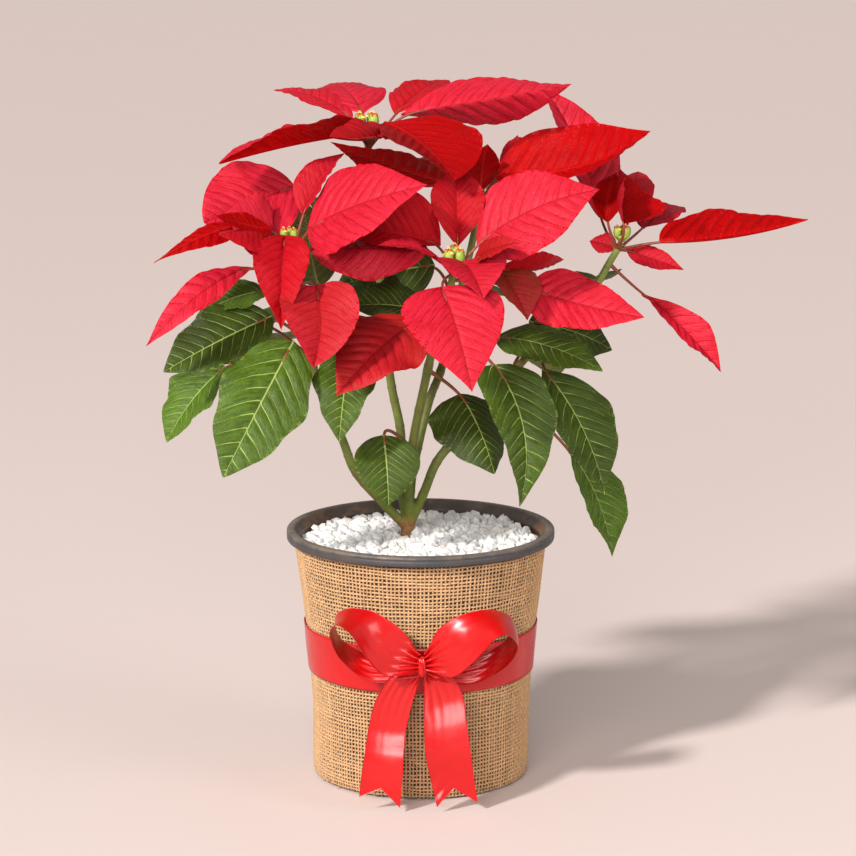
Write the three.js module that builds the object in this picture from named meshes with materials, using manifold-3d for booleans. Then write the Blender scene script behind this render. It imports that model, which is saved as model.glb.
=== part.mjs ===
// Potted poinsettia: five stems of red bracts and green leaves, in a nursery pot that is
// wrapped in burlap and tied with a ribbon bow.
// Millimetres, +Z up. The origin is the centre of the pot's flat underside, the bow faces -Y.

import * as THREE from "three";
import { mergeVertices } from "three/addons/utils/BufferGeometryUtils.js";
import Module from "manifold-3d";

const wasm = await Module();
wasm.setup();

// ---- Driving dimensions -------------------------------------------------------------------

const GAP = 0.3; // clearance between pieces that touch
const ROUND_SIDES = 32; // facets round the pot and all that fits it

const POT_HEIGHT = 140;
const POT_BASE_RADIUS = 52.4;
const POT_FLARE = 0.12; // growth of the wall's radius for each millimetre of height
const POT_WALL = 1.5;
const RIM_RADIUS = 74.5;
const RIM_HEIGHT = 5.8;
const RIM_INNER_RADIUS = 69.6;
const DRAIN_HOLES = 6;
const DRAIN_RADIUS = 4.5;
const DRAIN_CIRCLE = 40;

const WRAP_THICKNESS = 1.2;
const BAND_LOW = 61;
const BAND_HIGH = 87;
const RIBBON_THICKNESS = 0.8;

const SOIL_TOP = 123.5;
const GRAVEL_EDGE = 133; // height of the gravel at the pot's wall
const GRAVEL_MOUND = 1.6; // how much higher it lies in the middle
const CHIP = 6; // spacing of the gravel chips
const CHIP_RELIEF = 1.5;

const TRUNK_X = -7;
const TRUNK_Y = 4;
const TRUNK_RADIUS = 4.8;
const ROOT_BOTTOM = 92;
const STEM_RADIUS = 2.7;
const STEM_TOP_RADIUS = 1.9;
const STEM_SIDES = 6;
const STEM_GAP = 0.6; // clearance between the parts of one stem
const STUB_END = 0.16; // share of each stem's course that belongs to the woody base

const BLADE_THICKNESS = 0.8;
const PETIOLE_RADIUS = 1.0;

// ---- Colours ------------------------------------------------------------------------------

const finish = (color, roughness) => new THREE.MeshStandardMaterial({ color, roughness, metalness: 0 });
const POT_PLASTIC = () => finish("#3c3d40", 0.5);
const BURLAP = () => finish("#c9a36c", 0.95);
const SATIN = () => finish("#dc2429", 0.3);
const SOIL = () => finish("#3b2a1e", 1);
const GRAVEL = () => finish("#e9e8e4", 0.8);
const BARK = () => finish("#6d4a32", 0.9);
const GREEN = () => finish("#3f7a26", 0.6);
const RED = () => finish("#d81f33", 0.55);
const FLOWER = () => finish("#a5b52a", 0.6);

// ---- Helpers ------------------------------------------------------------------------------

const vec = (x, y, z) => new THREE.Vector3(x, y, z);
const UP = vec(0, 0, 1);
const radians = THREE.MathUtils.degToRad;

// A repeatable random number from 0 to 1 for each whole number.
const chance = (n) => {
  const s = Math.sin(n * 12.9898 + 4.1414) * 43758.5453;
  return s - Math.floor(s);
};

// The volume inside a closed indexed geometry, negative when it is inside out.
function signedVolume(geometry) {
  const place = geometry.attributes.position;
  const index = geometry.index;
  const [a, b, c] = [vec(), vec(), vec()];
  let sum = 0;
  for (let i = 0; i < index.count; i += 3) {
    a.fromBufferAttribute(place, index.getX(i));
    b.fromBufferAttribute(place, index.getX(i + 1));
    c.fromBufferAttribute(place, index.getX(i + 2));
    sum += a.dot(b.cross(c)) / 6;
  }
  return sum;
}

// The same shape with shared vertices only, and every face pointing out.
function tidy(geometry) {
  geometry.deleteAttribute("normal");
  geometry.deleteAttribute("uv");
  const merged = mergeVertices(geometry, 1e-4);
  if (signedVolume(merged) < 0) {
    const order = merged.index.array;
    for (let i = 0; i < order.length; i += 3) {
      [order[i + 1], order[i + 2]] = [order[i + 2], order[i + 1]];
    }
  }
  return merged;
}

function toSolid(geometry) {
  const clean = tidy(geometry);
  const vertProperties = Float32Array.from(clean.attributes.position.array);
  const triVerts = Uint32Array.from(clean.index.array);
  return new wasm.Manifold(new wasm.Mesh({ numProp: 3, vertProperties, triVerts }));
}

// A geometry from a list of points and a list of corner numbers, three to a triangle.
function fromPoints(points, corners) {
  const geometry = new THREE.BufferGeometry();
  const places = points.flatMap((point) => point.toArray());
  geometry.setAttribute("position", new THREE.Float32BufferAttribute(places, 3));
  geometry.setIndex(corners);
  return geometry;
}

function toGeometry(solid) {
  const mesh = solid.getMesh();
  const geometry = new THREE.BufferGeometry();
  geometry.setAttribute("position", new THREE.BufferAttribute(mesh.vertProperties, 3));
  geometry.setIndex(new THREE.BufferAttribute(mesh.triVerts, 1));
  return geometry;
}

const joined = (geometries) => geometries.map(toSolid).reduce((all, one) => all.add(one));

// A closed skin over a row of rings with the same even number of points. Points k and n-1-k of a
// ring face each other, and the two faces of the skin are split into triangles alike.
function loft(rings) {
  const n = rings[0].length;
  const half = n / 2;
  const index = [];
  for (let i = 0; i + 1 < rings.length; i++) {
    for (let k = 0; k < n; k++) {
      const next = (k + 1) % n;
      const [p, q, r, s] = [i * n + k, i * n + next, (i + 1) * n + next, (i + 1) * n + k];
      if (k < half) index.push(p, q, r, p, r, s);
      else index.push(p, q, s, q, r, s);
    }
  }
  const last = (rings.length - 1) * n;
  for (let k = 0; k + 1 < half; k++) {
    const [a, b, c, d] = [k, k + 1, n - 2 - k, n - 1 - k];
    index.push(a, c, b, a, d, c);
    index.push(last + a, last + b, last + c, last + a, last + c, last + d);
  }
  return fromPoints(rings.flat(), index);
}

// A round bar along a row of points, with a radius for each point.
function bar(points, radii, sides) {
  const rings = points.map((point, i) => {
    const before = points[Math.max(i - 1, 0)];
    const after = points[Math.min(i + 1, points.length - 1)];
    const along = after.clone().sub(before).normalize();
    const across = along.clone().cross(vec(0.21, 0.95, 0.23)).normalize();
    const other = along.clone().cross(across);
    const ring = [];
    for (let k = 0; k < sides; k++) {
      const turn = (2 * Math.PI * (k + 0.5)) / sides;
      const spoke = point.clone().addScaledVector(across, radii[i] * Math.cos(turn));
      ring.push(spoke.addScaledVector(other, radii[i] * Math.sin(turn)));
    }
    return ring;
  });
  return loft(rings);
}

// A shape of revolution about +Z from [radius, height] pairs.
function turned(profile, sides = ROUND_SIDES) {
  const points = profile.map(([radius, height]) => new THREE.Vector2(radius, height));
  return new THREE.LatheGeometry(points, sides).rotateX(Math.PI / 2);
}

function upright(radius, low, high, x, y, sides) {
  const cylinder = new THREE.CylinderGeometry(radius, radius, high - low, sides);
  return cylinder.rotateX(Math.PI / 2).translate(x, y, (low + high) / 2);
}

// A smooth curve through a row of points.
const course = (points) =>
  new THREE.CatmullRomCurve3(points.map((p) => vec(...p)), false, "catmullrom", 0.5);

const group = new THREE.Group();

function place(name, geometry, material) {
  const mesh = new THREE.Mesh(tidy(geometry), material);
  mesh.name = name;
  group.add(mesh);
}

// ---- Pot, soil and gravel -----------------------------------------------------------------

const potRadius = (z) => POT_BASE_RADIUS + POT_FLARE * z;
const RIM_LOW = POT_HEIGHT - RIM_HEIGHT;

function makePot() {
  const shell = toSolid(
    turned([
      [0, 0],
      [potRadius(0) - 1, 0],
      [potRadius(1), 1],
      [potRadius(RIM_LOW), RIM_LOW],
      [RIM_RADIUS - 0.4, RIM_LOW],
      [RIM_RADIUS, POT_HEIGHT - 1.8],
      [RIM_RADIUS - 1.4, POT_HEIGHT],
      [RIM_INNER_RADIUS + 0.6, POT_HEIGHT],
      [RIM_INNER_RADIUS, POT_HEIGHT - 1],
      [potRadius(RIM_LOW) - POT_WALL, RIM_LOW],
      [potRadius(POT_WALL) - POT_WALL, POT_WALL],
      [0, POT_WALL],
    ]),
  );
  const holes = [];
  for (let i = 0; i < DRAIN_HOLES; i++) {
    const turn = (2 * Math.PI * i) / DRAIN_HOLES;
    const [x, y] = [DRAIN_CIRCLE * Math.cos(turn), DRAIN_CIRCLE * Math.sin(turn)];
    holes.push(upright(DRAIN_RADIUS, -1, POT_WALL + 1, x, y, 8));
  }
  place("pot", toGeometry(shell.subtract(joined(holes))), POT_PLASTIC());
}

const insideRadius = (z) => potRadius(z) - POT_WALL - GAP;
const trunkHole = () =>
  toSolid(upright(TRUNK_RADIUS + GAP, ROOT_BOTTOM - GAP, POT_HEIGHT, TRUNK_X, TRUNK_Y, 10));

function makeSoil() {
  const low = POT_WALL + GAP;
  const filling = turned([
    [0, low],
    [insideRadius(low), low],
    [insideRadius(SOIL_TOP), SOIL_TOP],
    [0, SOIL_TOP],
  ]);
  place("soil", toGeometry(toSolid(filling).subtract(trunkHole())), SOIL());
}

// A layer of chips: rings of points round the trunk's hole, each point at a height of its own.
function makeGravel() {
  const low = SOIL_TOP + GAP;
  const outer = insideRadius(low);
  const hole = TRUNK_RADIUS + GAP;
  const rows = Math.round((outer - hole) / CHIP);
  const point = (i, k, height) => {
    const turn = (2 * Math.PI * (k + (i % 2) / 2)) / ROUND_SIDES;
    const reach = i / rows;
    const x = THREE.MathUtils.lerp(TRUNK_X + hole * Math.cos(turn), outer * Math.cos(turn), reach);
    const y = THREE.MathUtils.lerp(TRUNK_Y + hole * Math.sin(turn), outer * Math.sin(turn), reach);
    return vec(x, y, height);
  };
  const rings = [];
  for (let i = 0; i <= rows; i++) {
    const mound = GRAVEL_EDGE + GRAVEL_MOUND * (1 - (i / rows) ** 2);
    const ring = [];
    for (let k = 0; k < ROUND_SIDES; k++) {
      ring.push(point(i, k, mound + CHIP_RELIEF * (chance(i * 97 + k) - 0.5)));
    }
    rings.push(ring);
  }
  const under = (i) => Array.from({ length: ROUND_SIDES }, (_, k) => point(i, k, low));
  const all = [under(0), ...rings, under(rows)];
  const index = [];
  const n = ROUND_SIDES;
  for (let i = 0; i < all.length; i++) {
    const j = (i + 1) % all.length;
    for (let k = 0; k < n; k++) {
      const next = (k + 1) % n;
      index.push(i * n + k, i * n + next, j * n + next, i * n + k, j * n + next, j * n + k);
    }
  }
  place("gravel", fromPoints(all.flat(), index), GRAVEL());
}

// ---- Burlap wrap and ribbon ---------------------------------------------------------------

// The wrap's outer radius by height: it leans out under the rim, is drawn in at the band and
// hangs almost straight below it.
const WRAP_PROFILE = [
  [58.6, 0.5],
  [60.3, 3],
  [60.9, 41],
  [62.2, BAND_LOW],
  [64.4, BAND_HIGH],
  [70.2, RIM_LOW - GAP],
];

function makeWrap() {
  const inner = WRAP_PROFILE.map(([radius, z]) => [radius - WRAP_THICKNESS, z]).reverse();
  place("burlap_wrap", turned([...WRAP_PROFILE, ...inner, WRAP_PROFILE[0]]), BURLAP());
}

// The band's outer radius at a height between its two edges.
function bandRadius(z) {
  const [low, high] = WRAP_PROFILE.filter(([, height]) => height === BAND_LOW || height === BAND_HIGH);
  const share = (z - BAND_LOW) / (BAND_HIGH - BAND_LOW);
  return THREE.MathUtils.lerp(low[0], high[0], share) + GAP + RIBBON_THICKNESS;
}

function makeBand() {
  const ring = [
    [bandRadius(BAND_LOW) - RIBBON_THICKNESS, BAND_LOW],
    [bandRadius(BAND_LOW), BAND_LOW],
    [bandRadius(BAND_HIGH), BAND_HIGH],
    [bandRadius(BAND_HIGH) - RIBBON_THICKNESS, BAND_HIGH],
  ];
  place("ribbon_band", turned([...ring, ring[0]]), SATIN());
}

// A strip of ribbon between two edges, each a smooth curve through a few points.
function ribbon(firstEdge, secondEdge, steps) {
  const ribs = 2;
  const [first, second] = [course(firstEdge), course(secondEdge)];
  const at = (u, share) => first.getPoint(u).lerp(second.getPoint(u), share);
  const small = 0.01;
  const rings = [];
  for (let i = 0; i <= steps; i++) {
    const u = i / steps;
    const [back, ahead] = [Math.max(u - small, 0), Math.min(u + small, 1)];
    const across = second.getPoint(u).sub(first.getPoint(u));
    const ring = [];
    for (let k = 0; k <= ribs; k++) {
      const along = at(ahead, k / ribs).sub(at(back, k / ribs));
      const normal = along.cross(across).normalize();
      ring.push([at(u, k / ribs), normal]);
    }
    const lift = RIBBON_THICKNESS / 2;
    const upper = ring.map(([p, normal]) => p.clone().addScaledVector(normal, lift));
    const lower = ring.map(([p, normal]) => p.clone().addScaledVector(normal, -lift));
    rings.push([...upper, ...lower.reverse()]);
  }
  return loft(rings);
}

// The bow's strips: the far edge and the near edge of each, from the knot outwards.
const BOW_STRIPS = {
  leftLoop: [
    [[-1, -75, 88], [-7, -79, 98], [-15, -81, 106], [-26, -79, 112], [-38, -75, 112], [-46, -69, 105],
      [-42, -66, 92], [-24, -69, 84], [-1, -73, 82]],
    [[-1, -77, 78], [-18, -83, 77], [-28, -90, 88], [-37, -97, 104], [-45, -95, 108], [-48, -88, 100],
      [-42, -79, 84], [-26, -73, 71], [-1, -75, 74]],
  ],
  rightLoop: [
    [[3, -75, 88], [9, -80, 101], [19, -81, 109], [32, -78, 112], [43, -73, 110], [50, -67, 103],
      [45, -65, 91], [26, -69, 84], [3, -73, 82]],
    [[3, -77, 78], [17, -85, 77], [28, -93, 87], [39, -99, 101], [46, -97, 103], [52, -90, 94],
      [45, -78, 80], [26, -72, 69], [3, -75, 74]],
  ],
  leftTail: [
    [[0, -75, 80], [-15, -74, 75], [-24, -74, 61], [-28, -75.5, 46], [-30, -80.5, 33], [-32, -82, 20],
      [-33, -81.5, 9]],
    [[0, -76, 74], [-2, -74, 67], [-5, -74.5, 57], [-8, -76, 43], [-9, -81, 30], [-10, -82.5, 15],
      [-11, -82, 3]],
  ],
  rightTail: [
    [[2, -76, 74], [2, -74, 67], [2, -76, 56], [2, -80, 44], [3, -82, 31], [6, -80.5, 16], [9, -80, 2]],
    [[2, -75, 80], [16, -74, 75], [23, -74.5, 63], [25, -79, 49], [27, -81, 35], [29, -80, 19],
      [31, -79, 5]],
  ],
};
const KNOT = [1, -76, 80];
const TIE_RADIUS = 3; // the gathered ribbon that ties the knot to the band
const TIE_RISE = 2;
const LOOP_STEPS = 14;
const TAIL_STEPS = 7;

// Takes a V out of a tail's lower end.
function swallowTail(tail, [first, second]) {
  const corners = [first.at(-1), second.at(-1)].map((p) => vec(...p));
  const middle = corners[0].clone().lerp(corners[1], 0.5);
  const cut = new THREE.Shape([
    new THREE.Vector2(corners[0].x + 1, -6),
    new THREE.Vector2(corners[0].x, corners[0].z),
    new THREE.Vector2(middle.x, middle.z + 9),
    new THREE.Vector2(corners[1].x, corners[1].z),
    new THREE.Vector2(corners[1].x - 1, -6),
  ]);
  const wedge = new THREE.ExtrudeGeometry(cut, { depth: 30, bevelEnabled: false });
  wedge.rotateX(Math.PI / 2).translate(0, middle.y + 15, 0);
  return toSolid(tail).subtract(toSolid(wedge));
}

function makeBow() {
  const { leftLoop, rightLoop, leftTail, rightTail } = BOW_STRIPS;
  const knot = new THREE.SphereGeometry(1, 8, 6).scale(4, 4.5, 8).translate(...KNOT);
  const [x, y, z] = KNOT;
  const tieTop = z + TIE_RISE + TIE_RADIUS;
  const tie = bar([vec(x, y, z + TIE_RISE), vec(x, -bandRadius(tieTop) - GAP, z + TIE_RISE)],
    [TIE_RADIUS, TIE_RADIUS], 6);
  let bow = joined([knot, tie, ribbon(...leftLoop, LOOP_STEPS), ribbon(...rightLoop, LOOP_STEPS)]);
  for (const edges of [leftTail, rightTail]) {
    bow = bow.add(swallowTail(ribbon(...edges, TAIL_STEPS), edges));
  }
  place("ribbon_bow", toGeometry(bow), SATIN());
}

// ---- Stems --------------------------------------------------------------------------------

const FORK = [TRUNK_X, TRUNK_Y, 138];

// One bar along a stem's course between two shares of it.
function stemBar(curve, from, to, steps) {
  const shares = Array.from({ length: steps + 1 }, (_, i) => THREE.MathUtils.lerp(from, to, i / steps));
  const radii = shares.map((u) => THREE.MathUtils.lerp(STEM_RADIUS, STEM_TOP_RADIUS, u));
  return bar(shares.map((u) => curve.getPoint(u)), radii, STEM_SIDES);
}

// ---- Blades -------------------------------------------------------------------------------

// A leaf or bract. `at` is where its stalk leaves the stem, as a share of the stem's course.
// base, tip: ends of the midrib. width: widest span. In options, angles are in degrees:
// roll   turns the upper face to the right, seen from base to tip
// arch   how far the midrib bows up, as a share of its length; sweep bows it to the right
// fold   how steeply each half rises from the midrib; cup curls the edges up, as a share of width
// twist  roll gained from base to tip; wave height of the edge's ripple, in millimetres
// wide   where along the midrib the blade is widest; point how drawn out the tip is
const BLADE_DEFAULTS = {
  roll: 0, arch: 0.08, sweep: 0, fold: 18, cup: -0.06, twist: 0, wave: 1.2, wide: 0.4, point: 1.2,
  lobe: 0, rows: 6, stalk: PETIOLE_RADIUS,
};
const RIPPLES = 2.3;

const blade = (at, base, tip, width, options = {}) => ({
  ...BLADE_DEFAULTS, ...options, at, base: vec(...base), tip: vec(...tip), width,
});
const bract = (at, base, tip, width, options) => blade(at, base, tip, width, options);
const smallBract = (at, base, tip, width, options) =>
  blade(at, base, tip, width, { rows: 4, wave: 0.6, ...options });
const leaf = (at, base, tip, width, options) =>
  blade(at, base, tip, width, { wide: 0.42, point: 0.95, lobe: 0.06, stalk: 1.2, ...options });

// The blade's own axes: along the midrib, out of the upper face, and to the right.
function bladeAxes({ base, tip, roll }) {
  const along = tip.clone().sub(base).normalize();
  const level = UP.clone().addScaledVector(along, -along.z).normalize();
  const side = along.clone().cross(level);
  const out = level.multiplyScalar(Math.cos(radians(roll))).addScaledVector(side, Math.sin(radians(roll)));
  return { along, out, right: along.clone().cross(out) };
}

// A point of the blade's middle surface, t from base to tip and s from the left edge to the right.
function bladePoint(shape, axes, t, s) {
  const { base, tip, width, arch, sweep, fold, cup, twist, wave, wide, point, lobe } = shape;
  const length = base.distanceTo(tip);
  const rise = point * (wide / (1 - wide));
  const swell = (t / wide) ** rise * ((1 - t) / (1 - wide)) ** point;
  const teeth = 1 + lobe * Math.cos(2 * Math.PI * 3 * (t - 0.1)) * Math.min(1, 6 * t * (1 - t));
  const half = (width / 2) * swell * teeth;
  const bow = 4 * t * (1 - t) * length;
  const ripple = wave * Math.abs(s) ** 1.5 * Math.sin(2 * Math.PI * RIPPLES * t + 1.6 * Math.sign(s));
  const reach = s * half * Math.cos(radians(fold));
  const lift = Math.abs(s) * half * Math.sin(radians(fold)) + cup * width * s * s * swell + ripple * swell;
  const turn = radians(twist) * (t - 0.5);
  const place = base.clone().lerp(tip, t);
  place.addScaledVector(axes.out, arch * bow + lift * Math.cos(turn) - reach * Math.sin(turn));
  place.addScaledVector(axes.right, sweep * bow + reach * Math.cos(turn) + lift * Math.sin(turn));
  return place;
}

// The blade as a thin closed skin of even thickness.
function bladeSkin(shape) {
  const axes = bladeAxes(shape);
  const step = 0.02;
  const rings = [];
  for (let i = 0; i <= shape.rows; i++) {
    const t = 0.03 + 0.955 * (i / shape.rows);
    const ring = [-1, 0, 1].map((s) => {
      const along = bladePoint(shape, axes, Math.min(t + step, 0.999), s);
      along.sub(bladePoint(shape, axes, Math.max(t - step, 0.001), s));
      const side = bladePoint(shape, axes, t, Math.min(s + 0.1, 1));
      side.sub(bladePoint(shape, axes, t, Math.max(s - 0.1, -1)));
      return [bladePoint(shape, axes, t, s), side.cross(along).normalize()];
    });
    const lift = BLADE_THICKNESS / 2;
    const upper = ring.map(([p, normal]) => p.clone().addScaledVector(normal, lift));
    const lower = ring.map(([p, normal]) => p.clone().addScaledVector(normal, -lift));
    rings.push([...upper, ...lower.reverse()]);
  }
  return loft(rings);
}

// The stalk curves from the stem's middle into the start of the midrib.
function stalkBar(shape, stem) {
  const axes = bladeAxes(shape);
  const start = stem.getPoint(shape.at);
  const end = bladePoint(shape, axes, 0.1, 0);
  const heading = end.clone().sub(bladePoint(shape, axes, 0.02, 0)).normalize();
  const reach = start.distanceTo(end);
  const steps = reach > 14 ? 3 : 2;
  const knee = end.clone().addScaledVector(heading, -0.4 * reach);
  const curve = new THREE.QuadraticBezierCurve3(start, knee, end);
  const points = Array.from({ length: steps + 1 }, (_, i) => curve.getPoint(i / steps));
  return bar(points, points.map((_, i) => shape.stalk * (1 - (0.25 * i) / steps)), 4);
}

const spray = (stem, blades) => blades.flatMap((shape) => [bladeSkin(shape), stalkBar(shape, stem)]);

// ---- Flowers ------------------------------------------------------------------------------

// A cluster of small cups on a common pad. Each cup is a bellied bud with an open lip.
function flowerCluster([x, y, z], cups) {
  const parts = [turned([[0, 0], [2, 0], [4.4, 3], [0, 3]], 8).translate(x, y, z)];
  for (const [dx, dy, lift, size] of cups) {
    const cup = turned([[0, -1], [2.3, 2], [1.7, 5], [1.9, 6], [0, 5.6]], 6);
    parts.push(cup.scale(size, size, size).translate(x + dx, y + dy, z + lift));
  }
  return joined(parts);
}

// ---- The plant ----------------------------------------------------------------------------

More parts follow.
